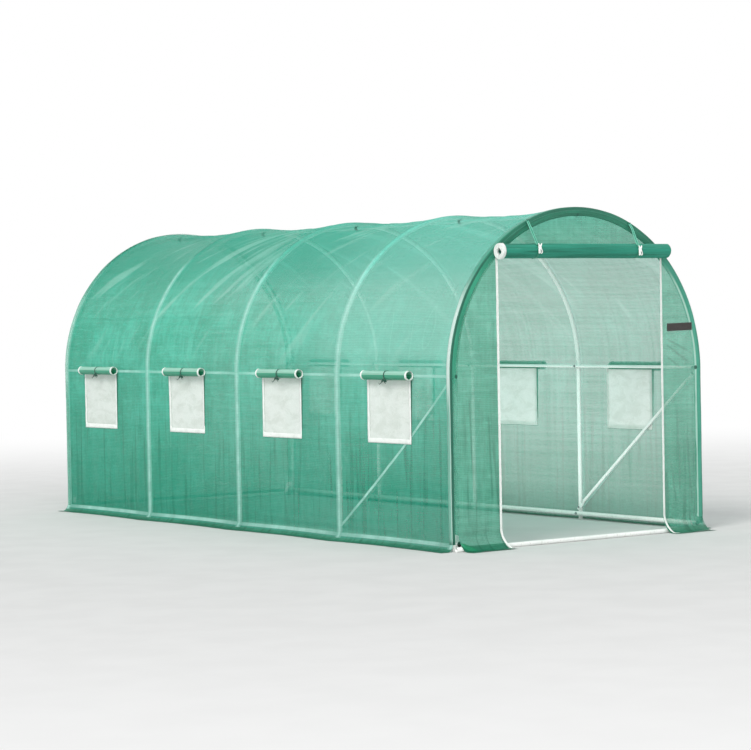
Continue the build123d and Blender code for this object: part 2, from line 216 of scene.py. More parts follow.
def tube(path, radius, sides=24, wall=None):
    """A tube along a path: solid with closed ends, or hollow where wall is given."""
    path, s, t = frames_along(path)
    n = len(path)
    radius = np.broadcast_to(np.asarray(radius, float), (n,))
    turn = np.linspace(0, 2 * math.pi, sides, endpoint=False)
    ring = np.cos(turn)[:, None] * s[:, None] + np.sin(turn)[:, None] * t[:, None]
    points = (path[:, None] + ring * radius[:, None, None]).reshape(-1, 3)
    uv = np.stack(np.broadcast_arrays(lengths(path)[:, None], turn * radius.max()), -1).reshape(-1, 2)
    if wall is None:
        return points, closed(n, sides), uv
    inner = (path[:, None] + ring * (radius - wall)[:, None, None]).reshape(-1, 3)
    faces = grid(n, sides, True)
    first, last = n * sides, (n - 1) * sides
    faces += [(a + first, d + first, c + first, b + first) for a, b, c, d in faces]
    for j in range(sides):
        k = (j + 1) % sides
        faces.append((j, first + j, first + k, k))
        faces.append((last + j, last + k, first + last + k, first + last + j))
    return np.vstack([points, inner]), faces, np.vstack([uv, uv])


RIBBON = [(-0.5, -0.2), (-0.5, 0.2), (-0.42, 0.5), (0.42, 0.5)]
RIBBON += [(0.5, 0.2), (0.5, -0.2), (0.42, -0.5), (-0.42, -0.5)]


def ribbon(path, across, width, thick):
    """A closed flat strip along a path, across it in the given direction."""
    path = np.asarray(path, float)
    ahead = unit(np.gradient(path, axis=0))
    across = np.broadcast_to(np.asarray(across, float), path.shape)
    across = unit(across - ahead * np.sum(across * ahead, axis=1)[:, None])
    up = np.cross(ahead, across)
    width = np.broadcast_to(np.asarray(width, float), (len(path),))
    along = lengths(path)
    every = [(i, a, b) for i in range(len(path)) for a, b in RIBBON]
    points = [path[i] + across[i] * width[i] * a + up[i] * thick * b for i, a, b in every]
    return points, closed(len(path), len(RIBBON)), [(along[i], width[i] * a) for i, a, b in every]


def block(size, centre, cut):
    """A box with cut edges, as points and faces."""
    corners = list(itertools.product((0, 1), repeat=3))
    half = np.array(size) / 2
    points = [
        np.where(np.arange(3) == kind, half, half - cut) * (2 * np.array(c) - 1)
        for c in corners
        for kind in range(3)
    ]

    def at(axis, kind, *corner):
        """A corner's point on the face of that kind, with the corner given from axis round."""
        return int(np.dot(np.roll(corner, axis), (12, 6, 3))) + kind % 3

    faces = []
    for k, s in itertools.product(range(3), (0, 1)):
        faces.append([at(k, k, s, *pq) for pq in ((0, 0), (1, 0), (1, 1), (0, 1))][:: 1 if s else -1])
        for t in (0, 1):
            edge = [at(k, k, s, t, 0), at(k, k + 1, s, t, 0), at(k, k + 1, s, t, 1), at(k, k, s, t, 1)]
            faces.append(edge[:: 1 if s == t else -1])
    for c in corners:
        faces.append([at(0, kind, *c) for kind in range(3)][:: 1 if sum(c) % 2 else -1])
    return np.array(points) + centre, faces


# ---------------------------------------------------------------- materials
class Num:
    """A shader socket to reckon with: each sum, product or ramp is a node."""

    def __init__(self, shade, socket):
        self.shade, self.socket = shade, socket

    def op(self, kind, *others, clamp=False):
        return self.shade.math(kind, self, *others, clamp=clamp)

    def __add__(self, b):
        return self.op("ADD", b)

    def __sub__(self, b):
        return self.op("SUBTRACT", b)

    def __rsub__(self, b):
        return self.shade.math("SUBTRACT", b, self)

    def __mul__(self, b):
        return self.op("MULTIPLY", b)

    def __abs__(self):
        return self.op("ABSOLUTE")

    def max(self, b):
        return self.op("MAXIMUM", b)

    def ramp(self, low, high, to_low=0.0, to_high=1.0):
        """Goes smoothly from to_low to to_high between low and high."""
        kind = {"interpolation_type": "SMOOTHSTEP", "clamp": True}
        ends = {"From_Min": low, "From_Max": high, "To_Min": to_low, "To_Max": to_high}
        return self.shade.node("ShaderNodeMapRange", kind, Value=self, **ends)

    def to(self, colour, share):
        """This colour turned towards another one by a share."""
        return self.shade.blend(share, self, colour)


class Shade:
    """Short names for making the nodes of a material or a world."""

    def __init__(self, name, world=False):
        self.owner = (bpy.data.worlds if world else bpy.data.materials).new(name)
        self.owner.use_nodes = True
        self.nodes, self.links = self.owner.node_tree.nodes, self.owner.node_tree.links
        self.nodes.clear()
        self.out = self.nodes.new("ShaderNodeOutputWorld" if world else "ShaderNodeOutputMaterial")

    def node(self, kind, settings=None, output=0, **inputs):
        """A node's output, with its settings, and its inputs by name or, as _0, by number."""
        n = self.nodes.new(kind)
        for key, value in (settings or {}).items():
            setattr(n, key, value)
        for key, value in inputs.items():
            socket = n.inputs[int(key[1:]) if key[0] == "_" else key.replace("_", " ")]
            if isinstance(value, Num):
                self.links.new(value.socket, socket)
            elif value is not None:
                socket.default_value = value
        return Num(self, n.outputs[output])

    def math(self, op, *values, clamp=False):
        settings = {"operation": op, "use_clamp": clamp}
        return self.node("ShaderNodeMath", settings, **{f"_{i}": v for i, v in enumerate(values)})

    def blend(self, share, a, b):
        return self.node("ShaderNodeMix", {"data_type": "RGBA"}, 2, _0=share, _6=a, _7=b)

    def noise(self, place, scale, detail=2.0, rough=0.5, distort=0.0):
        """Noise of one scale, or of a scale for each direction."""
        if isinstance(scale, tuple):
            place, scale = self.node("ShaderNodeMapping", Vector=place, Scale=(*scale, 1)[:3]), 1.0
        settings = {"Scale": scale, "Detail": detail, "Roughness": rough, "Distortion": distort}
        return self.node("ShaderNodeTexNoise", Vector=place, **settings)

    def object_place(self):
        return self.node("ShaderNodeTexCoord", output="Object")

    def cloth_place(self):
        return self.node("ShaderNodeUVMap", {"uv_map": "cloth"})

    def split(self, place):
        n = self.node("ShaderNodeSeparateXYZ", _0=place).socket.node
        return [Num(self, output) for output in n.outputs]

    def wave(self, x, pitch):
        """0 at each thread line, 1 half way between two."""
        return abs((x * (math.pi / pitch)).op("SINE"))

    def threads(self, u, v, edge=0.4):
        """The grid of the film's reinforcing threads."""
        return self.wave(u, THREAD).ramp(0.05, edge, 1, 0).max(self.wave(v, THREAD).ramp(0.05, edge, 1, 0))

    def bump(self, height, distance, strength, normal=None):
        settings = {"Distance": distance, "Strength": strength, "Normal": normal}
        return self.node("ShaderNodeBump", Height=height, **settings)

    def principled(self, colour, rough, normal=None, **numbers):
        settings = {"Roughness": rough, "Normal": normal, **numbers}
        return self.node("ShaderNodeBsdfPrincipled", Base_Color=colour, **settings)

    def mix(self, share, a, b):
        return self.node("ShaderNodeMixShader", _0=share, _1=a, _2=b)

    def seen(self):
        """1 for rays that show the background: from the camera, a reflection or a clear surface."""
        kinds = ("Camera", "Glossy", "Transmission")
        camera, glossy, clear = (self.node("ShaderNodeLightPath", output=f"Is {k} Ray") for k in kinds)
        return camera.max(glossy.max(clear))

    def done(self, surface):
        self.links.new(surface.socket, self.out.inputs["Surface"])
        return self.owner

    def cloth(self, tone, skin, through, solid=None, normal=None, tinge=None):
        """Cloth that lets a share of the light through, and is solid over a share of its surface."""
        body = self.mix(through, skin, self.node("ShaderNodeBsdfTranslucent", Color=tone, Normal=normal))
        if solid is not None:
            body = self.mix(solid, self.node("ShaderNodeBsdfTransparent", Color=tinge), body)
        return self.done(body)


def rgb(*levels):
    """A given colour, as shader numbers."""
    levels = [v / 255 for v in levels]
    return (*(v / 12.92 if v <= 0.04045 else ((v + 0.055) / 1.055) ** 2.4 for v in levels), 1.0)


def beside(u, v, u0, v0, u1, v1):
    """Distances away from a line over u and v, and along it, with its length."""
    length = math.hypot(u1 - u0, v1 - v0)
    du, dv = (u1 - u0) / length, (v1 - v0) / length
    away = abs(u * -dv + (v * du + (u0 * dv - v0 * du)))
    return away, u * du + (v * dv - (u0 * du + v0 * dv)), length


def film_material(name, base, pale, deep, cover, low_shade=0.42, touch=(), folds=()):
    """Clear green film with a grid of reinforcing threads, packing creases and streaks.

    touch lists lines (u0, v0, u1, v1, half width) along which the side film lies on a white tube;
    there the lit tube is painted on the film as a pale stripe of light. folds lists lines of the same
    kind along which it is pleated, with painted shade darkening it.
    """
    s = Shade(name)
    place = s.cloth_place()
    u, v, _ = s.split(place)
    thread = s.threads(u, v, 0.42)
    # Threads aren't all alike, so the film shows faint streaks both ways.
    streak = s.noise(place, (46, 0.55), 3.0, 0.6) + s.noise(place, (0.55, 46), 3.0, 0.6)
    streak = streak.ramp(0.80, 1.24)
    cloud = s.noise(place, 1.9, 3.0, 0.55, 0.4).ramp(0.34, 0.68)
    mottle = s.noise(place, (17, 8), 4.0, 0.6, 0.5).ramp(0.42, 0.64)
    glint = s.noise(place, (8, 46), 3.0, 0.6, 0.8).ramp(0.55, 0.68)
    tone = s.blend(cloud, base, pale).to(deep, mottle * 0.34).to(deep, streak * 0.40)
    tone = tone.to(pale, thread * 0.40).to(pale, glint * 0.42)
    # Pale lines along the packing creases: partly whitened stress marks, partly painted highlight along the
    # folds.
    crease = abs(s.noise(place, (3.2, 0.9), 1.5, 0.5, 0.35) - 0.5).ramp(0.0, 0.010, 1.0, 0.0)
    crease = crease * s.noise(place, 1.3).ramp(0.50, 0.66)
    tone = tone.to(rgb(190, 232, 218), crease * 0.12)
    wide, deep_in, height = s.split(s.object_place())
    # Painted shade: the film turns deeper in tone towards the ground.
    low = height.ramp(0.15, 1.30, 1.0, 0.0)
    # Painted shade in upright pleats low down, where the film hangs free of the rails.
    pleat = s.noise(place, (27, 1.3), 2.0, 0.5, 0.3).ramp(0.53, 0.66) * height.ramp(0.55, 0.95, 0.85, 0.0)
    tone = tone.to(deep, low * low_shade).to(deep, pleat)
    # Painted shade along the listed folds.
    for *line, half in folds:
        away, run, length = beside(u, v, *line)
        ends = run.ramp(0.0, 0.05) * run.ramp(length - 0.09, length, 1.0, 0.0)
        tone = tone.to(deep, away.ramp(0.0, half, 0.75, 0.0) * ends)
    solid = thread * 0.22 + (cover - 0.07) + streak * 0.08 + low * 0.05
    tinge = None
    if touch:
        # Broad pale folds from packing, aslant over the roof of each bay, pale partly as painted highlight.
        turned = {"Rotation": (0, 0, math.radians(38)), "Scale": (1 / 7, 1 / 1.1, 1)}
        slant = s.node("ShaderNodeMapping", {"vector_type": "TEXTURE"}, Vector=place, **turned)
        band = s.noise(slant, 1.0, 2.0, 0.5, 0.2).ramp(0.55, 0.69) * height.ramp(1.00, 1.35)
        # Painted shade: the film is deeper in tone over the crown, and most of all towards the rear.
        crown = height.ramp(1.36, 1.84) * deep_in.ramp(-1.9, 1.6, 0.62, 0.80)
        # The front bay's roof is paler, and the right side greyer as painted light shining through it from
        # outside.
        left = wide.ramp(-0.2, 0.1, 1.0, 0.0)
        paler_front = deep_in.ramp(-1.5, -0.3, 0.48, 0.0) * height.ramp(0.90, 1.20) * left
        backlit_grey = wide.ramp(-0.1, 0.7, 0.0, 0.34) * deep_in.ramp(0.0, 1.1, 1.0, 0.15)
        tone = tone.to(rgb(6, 142, 114), crown).to(rgb(156, 218, 204), paler_front)
        tone = tone.to(rgb(152, 182, 168), backlit_grey).to(rgb(170, 222, 206), band * 0.42)
        # Painted light: pale stripes where the white tubes lie behind the film, at the hoops and along the
        # rails.
        turn = (u + (HALF + 4 * BAY)).op("PINGPONG", BAY / 2)
        lit_tube_stripe = turn.ramp(0.0230, 0.0340, 0.42, 0.0) + turn.ramp(0.0080, 0.0160, 0.50, 0.0)
        # High on the arch the tube is seen against the light and the film lies dark on it.
        high = height.ramp(1.66, 1.84)
        tone = tone.to(rgb(44, 132, 108), turn.ramp(0.0060, 0.0130, 1.0, 0.0) * high * 0.45)
        lit_tube_stripe = lit_tube_stripe * (1.0 - high)
        # Half way between two hoops the film lies on the rails, and near a hoop it stands off them.
        close = turn.ramp(0.0, 0.30, 0.55, 1.0)
        for *line, half in touch:
            away, run, length = beside(u, v, *line)
            inside = run.op("GREATER_THAN", 0.0) * run.op("LESS_THAN", length)
            lit_tube_stripe = lit_tube_stripe.max(away.ramp(half * 0.6, half * 1.15, 1.0, 0.0) * inside * close)
        lit_tube_stripe = lit_tube_stripe * s.noise(place, (9, 9)).ramp(0.3, 0.7, 0.66, 0.94)
        tone = tone.to(rgb(176, 228, 216), lit_tube_stripe)
        # The left side closes up towards the rear. Over the crown it is clearer and tinged green,
        # and the far halves of the hoops show through.
        dense = wide.ramp(-0.6, 0.2, 1.0, 0.0) * deep_in.ramp(-1.4, 1.3, 0.0, 0.14)
        thin = height.ramp(1.30, 1.62, 0.0, -0.26) * left * deep_in.ramp(-0.4, 0.9, 1.0, 0.45)
        solid = solid + lit_tube_stripe * 0.10 + dense + thin
        tinged = wide.ramp(0.0, 0.9, 1.0, 0.0) * height.ramp(1.38, 1.75)
        tinge = s.blend(tinged, (1, 1, 1, 1), (0.50, 0.95, 0.88, 1))
    else:
        solid = solid + wide.ramp(-0.4, 0.5, 0.07, -0.07)
    normal = s.bump(s.noise(place, (10, 24), 3.0, 0.55, 0.6), 0.008, 0.65)
    normal = s.bump(thread, 0.0006, 0.5, normal)
    skin = s.principled(tone, cloud.ramp(0, 1, 0.36, 0.48), normal, Specular_IOR_Level=0.28)
    return s.cloth(tone, skin, 0.30, solid.op("ADD", crease * 0.06, clamp=True), normal, tinge)


def tube_material():
    """White coated steel, with a faint orange-peel surface and dirt low down."""
    s = Shade("white_tube")
    place = s.object_place()
    height = s.split(place)[2]
    patch = s.noise(place, 6.0, 4.0, 0.6).ramp(0.42, 0.70)
    speck = s.noise(place, 60, 4.0, 0.7).ramp(0.50, 0.75)
    scuff = s.noise(place, (30, 260, 30), 3.0, 0.6).ramp(0.66, 0.74)
    tone = s.blend(patch, rgb(236, 238, 235), rgb(225, 230, 226))
    tone = tone.to(rgb(168, 166, 150), height.ramp(0.0, 0.12, 0.5, 0.0) * speck)
    tone = tone.to(rgb(176, 180, 178), scuff * 0.35)
    peel = s.bump(s.noise(place, 420), 0.0002, 0.5)
    coat = {"Specular_IOR_Level": 0.5, "Coat_Weight": 0.15, "Coat_Roughness": 0.2}
    return s.done(s.principled(tone, patch.ramp(0, 1, 0.30, 0.42), peel, **coat))


def hem_material(name, front=True):
    """Doubled film with two rows of stitches, and painted shade: dark over the arch, with a dark outer cord
    on the left.
    """
    s = Shade(name)
    place = s.cloth_place()
    u, v, _ = s.split(place)
    x, _, z = s.split(s.object_place())
    cloud = s.noise(place, (2.2, 26), 3.0, 0.55, 0.6).ramp(0.35, 0.66)
    arch = z.ramp(1.62, 1.80)
    right = x.ramp(-0.06, 0.06)
    low = z.ramp(0.85, 1.15, 1.0, 0.0)
    # Painted light and shade: the front hem is dark over the arch, where no light comes through it from
    # behind, and paler on the right and low down, where it is lit.
    if front:
        wall = s.blend(cloud, rgb(60, 184, 146), rgb(46, 160, 126))
        wall = wall.to(s.blend(cloud, rgb(104, 196, 170), rgb(82, 174, 148)), low * 0.75)
        wall = wall.to(s.blend(cloud, rgb(88, 186, 160), rgb(66, 164, 138)), right)
        top = s.blend(cloud, rgb(44, 148, 116), rgb(30, 116, 90))
    else:
        # Painted light: the rear hem is much paler, lit through from behind.
        wall = s.blend(cloud, rgb(158, 226, 208), rgb(132, 208, 186))
        top = s.blend(cloud, rgb(146, 218, 198), rgb(120, 200, 176))
    tone = wall.to(top, arch).to(rgb(96, 190, 160), s.threads(u, v) * 0.20)
    if front:
        # The outer edge of the face is a folded cord of film, painted dark as shade where it turns round
        # the tube, and the part past it lies on the tube.
        share = s.blend(right, (0.92, 0.92, 0.92, 1), (0.10, 0.10, 0.10, 1)).to((0.42, 0.42, 0.42, 1), arch)
        cord = v.ramp(arch.ramp(0, 1, 0.0400, 0.0330), arch.ramp(0, 1, 0.0430, 0.0370))
        cord = cord * v.ramp(0.0560, 0.0590, 1.0, 0.0) * share
        # Painted light where the right post shows through the hem's inner edge, and painted shade low down
        # on its outermost edge.
        lit_post = v.ramp(0.0010, 0.0040) * v.ramp(0.0150, 0.0190, 1.0, 0.0) * right
        edge = v.ramp(0.0470, 0.0500) * v.ramp(0.0550, 0.0575, 1.0, 0.0) * right * low
        tone = tone.to(rgb(34, 104, 84), cord)
        tone = tone.to(rgb(206, 238, 226), lit_post * z.ramp(1.50, 1.68, 1.0, 0.0) * 0.8)
        tone = tone.to(rgb(40, 112, 92), edge * 0.8)

    def near(across, up):
        return (across.op("POWER", 2.0) + up.op("POWER", 2.0)).op("SQRT")

    # Dark spots painted over the rails' dark end caps, which show through the cloth and shade it.
    cap_shade_spot = near(abs(x) - (RAIL_X - 0.001), z - RAIL_Z).ramp(0.0100, 0.0150, 0.90, 0.0)
    cap_shade_spot = cap_shade_spot.max(near(x, z - (RIDGE_Z - 0.004)).ramp(0.0070, 0.0110, 0.90, 0.0))
    cap_shade_spot = cap_shade_spot.max(near(abs(x) - GROUND_X, z - (GROUND_Z + 0.006)).ramp(0.0100, 0.0140, 0.95, 0.0))
    # Past the cord the film wraps over the tube; painted light makes it pale high on the arch, where it
    # faces the sky.
    lit_wrap = s.blend(z.ramp(1.36, 1.66, 1.0, 0.0), rgb(70, 168, 142), rgb(222, 240, 234))
    rows = [abs(v - at).ramp(0.0006, 0.0011, 1, 0) for at in (0.0055, 0.0345)]
    stitch = rows[0].max(rows[1]) * s.wave(u, 0.0075).ramp(0.30, 0.42)
    tone = tone.to(rgb(20, 92, 74), cap_shade_spot).to(lit_wrap, v.ramp(0.0575, 0.0610))
    # Painted light: a paler strip low down along the far edge, on the lit side of the post.
    tone = tone.to(rgb(110, 188, 166), z.ramp(0.78, 1.02, 0.85, 0.0) * v.ramp(0.0625, 0.0665))
    tone = tone.to(rgb(120, 200, 174), stitch * 0.5)
    normal = s.bump(s.noise(place, (40, 9)), 0.004, 0.6)
    normal = s.bump(s.wave(u, 0.0016) * s.wave(v, 0.0016), 0.0004, 0.5, normal)
    skin = s.principled(tone, 0.36, normal, Specular_IOR_Level=0.5)
    if not front:
        return s.cloth(tone, skin, 0.60, arch.ramp(0, 1, 0.26, 0.20))
    # Down the left post the inner strip thins out into the film beside it.
    thin = v.ramp(0.0110, 0.0180, 1.0, 0.0).max(low * v.ramp(0.0370, 0.0410, 1.4, 0.0))
    thin = thin * (1.0 - right) * (1.0 - arch) * (1.0 - cap_shade_spot)
    return s.cloth(tone, skin, 0.25, arch.ramp(0, 1, 0.84, 0.97) - thin * 0.50)


def roll_material(name, pale, deep, rough=0.33, shine=0.5, through=0.22, coat=0.0, highlight_z=0.0):
    """Film in many layers: deeper green, with soft lengthwise folds and layer lines."""
    s = Shade(name)
    place = s.cloth_place()
    u, v, _ = s.split(place)
    fold = s.noise(place, (1.2, 34), 3.0, 0.6, 0.5)
    thread = s.threads(u, v)
    worn = s.noise(place, (4, 40), 4.0, 0.65).ramp(0.60, 0.72)
    tone = s.blend(fold.ramp(0.36, 0.66), pale, deep)
    tone = tone.to(rgb(96, 186, 160), thread * 0.22).to(rgb(120, 200, 176), worn * 0.3)
    if highlight_z:
        # Painted sky reflection: pale along the top, with a painted highlight line under the pale part.
        z = s.split(s.object_place())[2]
        tone = tone.to(rgb(190, 234, 220), z.ramp(highlight_z + 0.001, highlight_z + 0.007, 0.0, 0.85))
        tone = tone.to(rgb(200, 240, 226), abs(z - highlight_z).ramp(0.0014, 0.0034, 0.75, 0.0))
    normal = s.bump(thread, 0.0005, 0.4, s.bump(fold, 0.006, 0.5))
    gloss = {"Specular_IOR_Level": shine, "Coat_Weight": coat, "Coat_Roughness": 0.15}
    return s.cloth(tone, s.principled(tone, rough, normal, **gloss), through)


def tape_material(name, base, dark):
    """Narrow woven tape."""
    s = Shade(name)
    place = s.cloth_place()
    u, v, _ = s.split(place)
    rib = (s.wave(u, 0.0013) * s.wave(v, 0.0013 * 1.4)).ramp(0.05, 0.8)
    cloud = s.noise(place, 22, 4.0, 0.6).ramp(0.4, 0.72)
    tone = s.blend(cloud * 0.5, base, dark).to(dark, (1.0 - rib) * 0.22)
    cloth = {"Specular_IOR_Level": 0.3, "Sheen_Weight": 0.25, "Sheen_Roughness": 0.4}
    return s.done(s.principled(tone, 0.72, s.bump(rib, 0.0004, 0.6), **cloth))


def screen_material():
    """Fine off-white insect mesh."""
    s = Shade("insect_screen")
    place = s.cloth_place()
    u, v, _ = s.split(place)
    hole = s.wave(u, 0.0022).ramp(0.35, 0.75) * s.wave(v, 0.0022).ramp(0.35, 0.75)
    cloud = s.noise(place, (7, 16), 4.0, 0.6, 0.5).ramp(0.38, 0.68)
    crease = s.noise(place, (9, 9), 2.0, 0.5, 0.8)
    fine = abs(crease - 0.5).ramp(0.0, 0.02, 1.0, 0.0)
    tone = s.blend(cloud, rgb(228, 231, 227), rgb(214, 218, 212)).to(rgb(240, 243, 239), fine * 0.35)
    normal = s.bump(hole, 0.0004, 0.5, s.bump(crease, 0.006, 0.5))
    skin = s.principled(tone, 0.8, normal, Specular_IOR_Level=0.25, Sheen_Weight=0.2)
    return s.cloth(tone, skin, 0.25, 0.99 - hole * 0.14)


def patch_material():
    s = Shade("blank_patch")
    place = s.cloth_place()
    u, v, _ = s.split(place)
    weave = s.wave(u, 0.0012) * s.wave(v, 0.0012)
    cloud = s.noise(place, 60, 4.0, 0.6).ramp(0.4, 0.7)
    tone = s.blend(cloud, rgb(46, 42, 40), rgb(34, 31, 30)).to(rgb(74, 68, 64), weave * 0.25)
    skin = s.principled(tone, 0.6, s.bump(weave, 0.0004, 0.6), Specular_IOR_Level=0.35, Sheen_Weight=0.2)
    return s.done(skin)


def hard_material(name, light, dark, mottle, ends, grain, strength, rough, **numbers):
    """Plastic or metal with a mottle between two tones and a fine grain."""
    s = Shade(name)
    place = s.object_place()
    cloud = s.noise(place, *mottle).ramp(*ends)
    if isinstance(rough, tuple):
        rough = cloud.ramp(0, 1, *rough)
    normal = s.bump(s.noise(place, grain), 0.0001, strength)
    return s.done(s.principled(s.blend(cloud, light, dark), rough, normal, **numbers))


# Where the rails and braces lie behind the side film, as distances round the cover from the
# left skirt's edge: the wall starts at WALL_V, and the arch of radius FILM_R is between the walls.
WALL_V = 0.13273
LEFT_V = WALL_V - SIDE_FOOT
RIGHT_V = LEFT_V + 2 * SPRING + math.pi * FILM_R
RIDGE_V = (LEFT_V + RIGHT_V) / 2
TOUCH = [(-SIDE_LEN, RIDGE_V, SIDE_LEN, RIDGE_V, 0.009)]
for sign, start in ((1, LEFT_V), (-1, RIGHT_V)):
    for z, half in ((RAIL_Z, RAIL_R), (0.036, 0.013)):
        TOUCH.append((-SIDE_LEN, start + sign * z, SIDE_LEN, start + sign * z, half))
    TOUCH.append((-HALF, start + sign * 0.986, -HALF + BAY, start + sign * 0.0753, 0.009))

# Painted shade along folds in the front film, as lines over x and z.
END_FOLD_SHADE = [
    (0.70, 1.20, 0.93, 1.10, 0.012),
    (0.69, 1.17, 0.92, 1.03, 0.014),
    (0.69, 1.10, 0.86, 0.99, 0.011),
    (0.78, 0.80, 0.80, 0.20, 0.015),
    (0.86, 0.62, 0.90, 0.12, 0.014),
    (0.72, 0.45, 0.77, 0.12, 0.012),
    (-0.86, 0.90, -0.84, 0.30, 0.012),
    (-0.72, 0.80, -0.70, 0.25, 0.012),
]

FILM = film_material(
    "green_film", rgb(30, 168, 138), rgb(78, 200, 174), rgb(10, 128, 102), 0.66, 0.66, touch=TOUCH
)
END_FILM = film_material(
    "end_film", rgb(66, 168, 138), rgb(112, 200, 174), rgb(40, 126, 100), 0.61, 0.28, folds=END_FOLD_SHADE
)
# The skirt's film is more opaque, and deeper in tone as painted shade where it lies on the ground.
SKIRT_SHADE = film_material("skirt_film", rgb(44, 140, 108), rgb(80, 172, 142), rgb(24, 104, 78), 0.84)
BRIGHT = film_material("bright_flap", rgb(44, 160, 116), rgb(70, 180, 138), rgb(30, 132, 92), 0.86)
HEM = hem_material("hem_cloth")
# Painted light makes the rear hem pale.
LIT_REAR_HEM = hem_material("rear_hem_cloth", False)
ROLL = roll_material("film_roll", rgb(40, 156, 130), rgb(16, 112, 90), 0.42, 0.34)
FLAP = roll_material(
    "window_roll", rgb(84, 198, 162), rgb(56, 168, 134), through=0.42, coat=0.5, highlight_z=1.024
)
WHITE = tape_material("white_tape", rgb(236, 240, 236), rgb(204, 212, 206))
TIE = tape_material("green_tie", rgb(34, 108, 86), rgb(20, 78, 60))
MINT = tape_material("mint_tie", rgb(112, 196, 170), rgb(84, 170, 144))
KNOT = tape_material("knot_tie", rgb(22, 76, 60), rgb(12, 52, 42))
LACE = tape_material("tie_strand", rgb(48, 142, 114), rgb(34, 116, 92))
SCREEN = screen_material()
PATCH = patch_material()
STEEL = tube_material()
PLASTIC = hard_material(
    "white_plastic", rgb(242, 243, 240), rgb(226, 229, 225), (40, 3.0), (0.4, 0.7), 900, 0.4, 0.38,
    Specular_IOR_Level=0.5,
)
BOLT = hard_material(
    "zinc_bolt", rgb(168, 172, 174), rgb(128, 132, 135), (260, 4.0, 0.7), (0.38, 0.68), (900, 900, 120),
    0.5, (0.28, 0.48), Metallic=0.9,
)
CAP = hard_material(
    "dark_cap", rgb(34, 44, 42), rgb(22, 30, 28), (90, 3.0, 0.6), (0.4, 0.7), 700, 0.5, 0.5,
    Specular_IOR_Level=0.4,
)


# ---------------------------------------------------------------- camera
def set_camera():
    place = (-9.7925, -13.4544, 1.4003)
    azimuth, elevation, roll = (math.radians(a) for a in (36.4175, -1.4762, -1.0646))
    focal, picture_width, sensor = 2470.45, 751, 36  # the first two in pixels
    flat = math.cos(elevation)
    d = Vector((math.sin(azimuth) * flat, math.cos(azimuth) * flat, math.sin(elevation)))
    r = d.cross(Vector((0, 0, 1))).normalized()
    u = r.cross(d)
    right = r * math.cos(roll) + u * math.sin(roll)
    up = u * math.cos(roll) - r * math.sin(roll)
    camera = bpy.data.objects.new("camera", bpy.data.cameras.new("camera"))
    bpy.context.scene.collection.objects.link(camera)
    camera.matrix_world = Matrix([*((right[i], up[i], -d[i], place[i]) for i in range(3)), (0, 0, 0, 1)])
    camera.data.sensor_width = sensor
    camera.data.lens = focal * sensor / picture_width
    camera.data.clip_end = 300
    bpy.context.scene.camera = camera


set_camera()


# ---------------------------------------------------------------- shape of the cover
def drop(y):
    """How far the film has come in from the hoops at y."""
    y = np.asarray(y, float)
    u = np.abs(2 * np.mod(y + HALF, BAY) / BAY - 1)
    return np.where(np.abs(y) < HALF, SAG * (1 - u**2.2), 0.0)


def hoop_distance(y):
    share = np.mod(y + HALF, BAY)
    return np.where(np.abs(y) < HALF, np.minimum(share, BAY - share), 0.0)


def wall_x(y):
    return FILM_R - drop(y)


def skirt_curve(t, flare, reach, top):
    """Out and down from a hanging wall to the ground, for t from 0 at top to 1."""
    t = np.asarray(t, float)
    a = np.clip(t / 0.62, 0, 1)
    b = np.clip((t - 0.62) / 0.38, 0, 1)
    return flare * a**2.1 + (reach - flare) * b, top * (1 - a) ** 1.15 + 0.0016


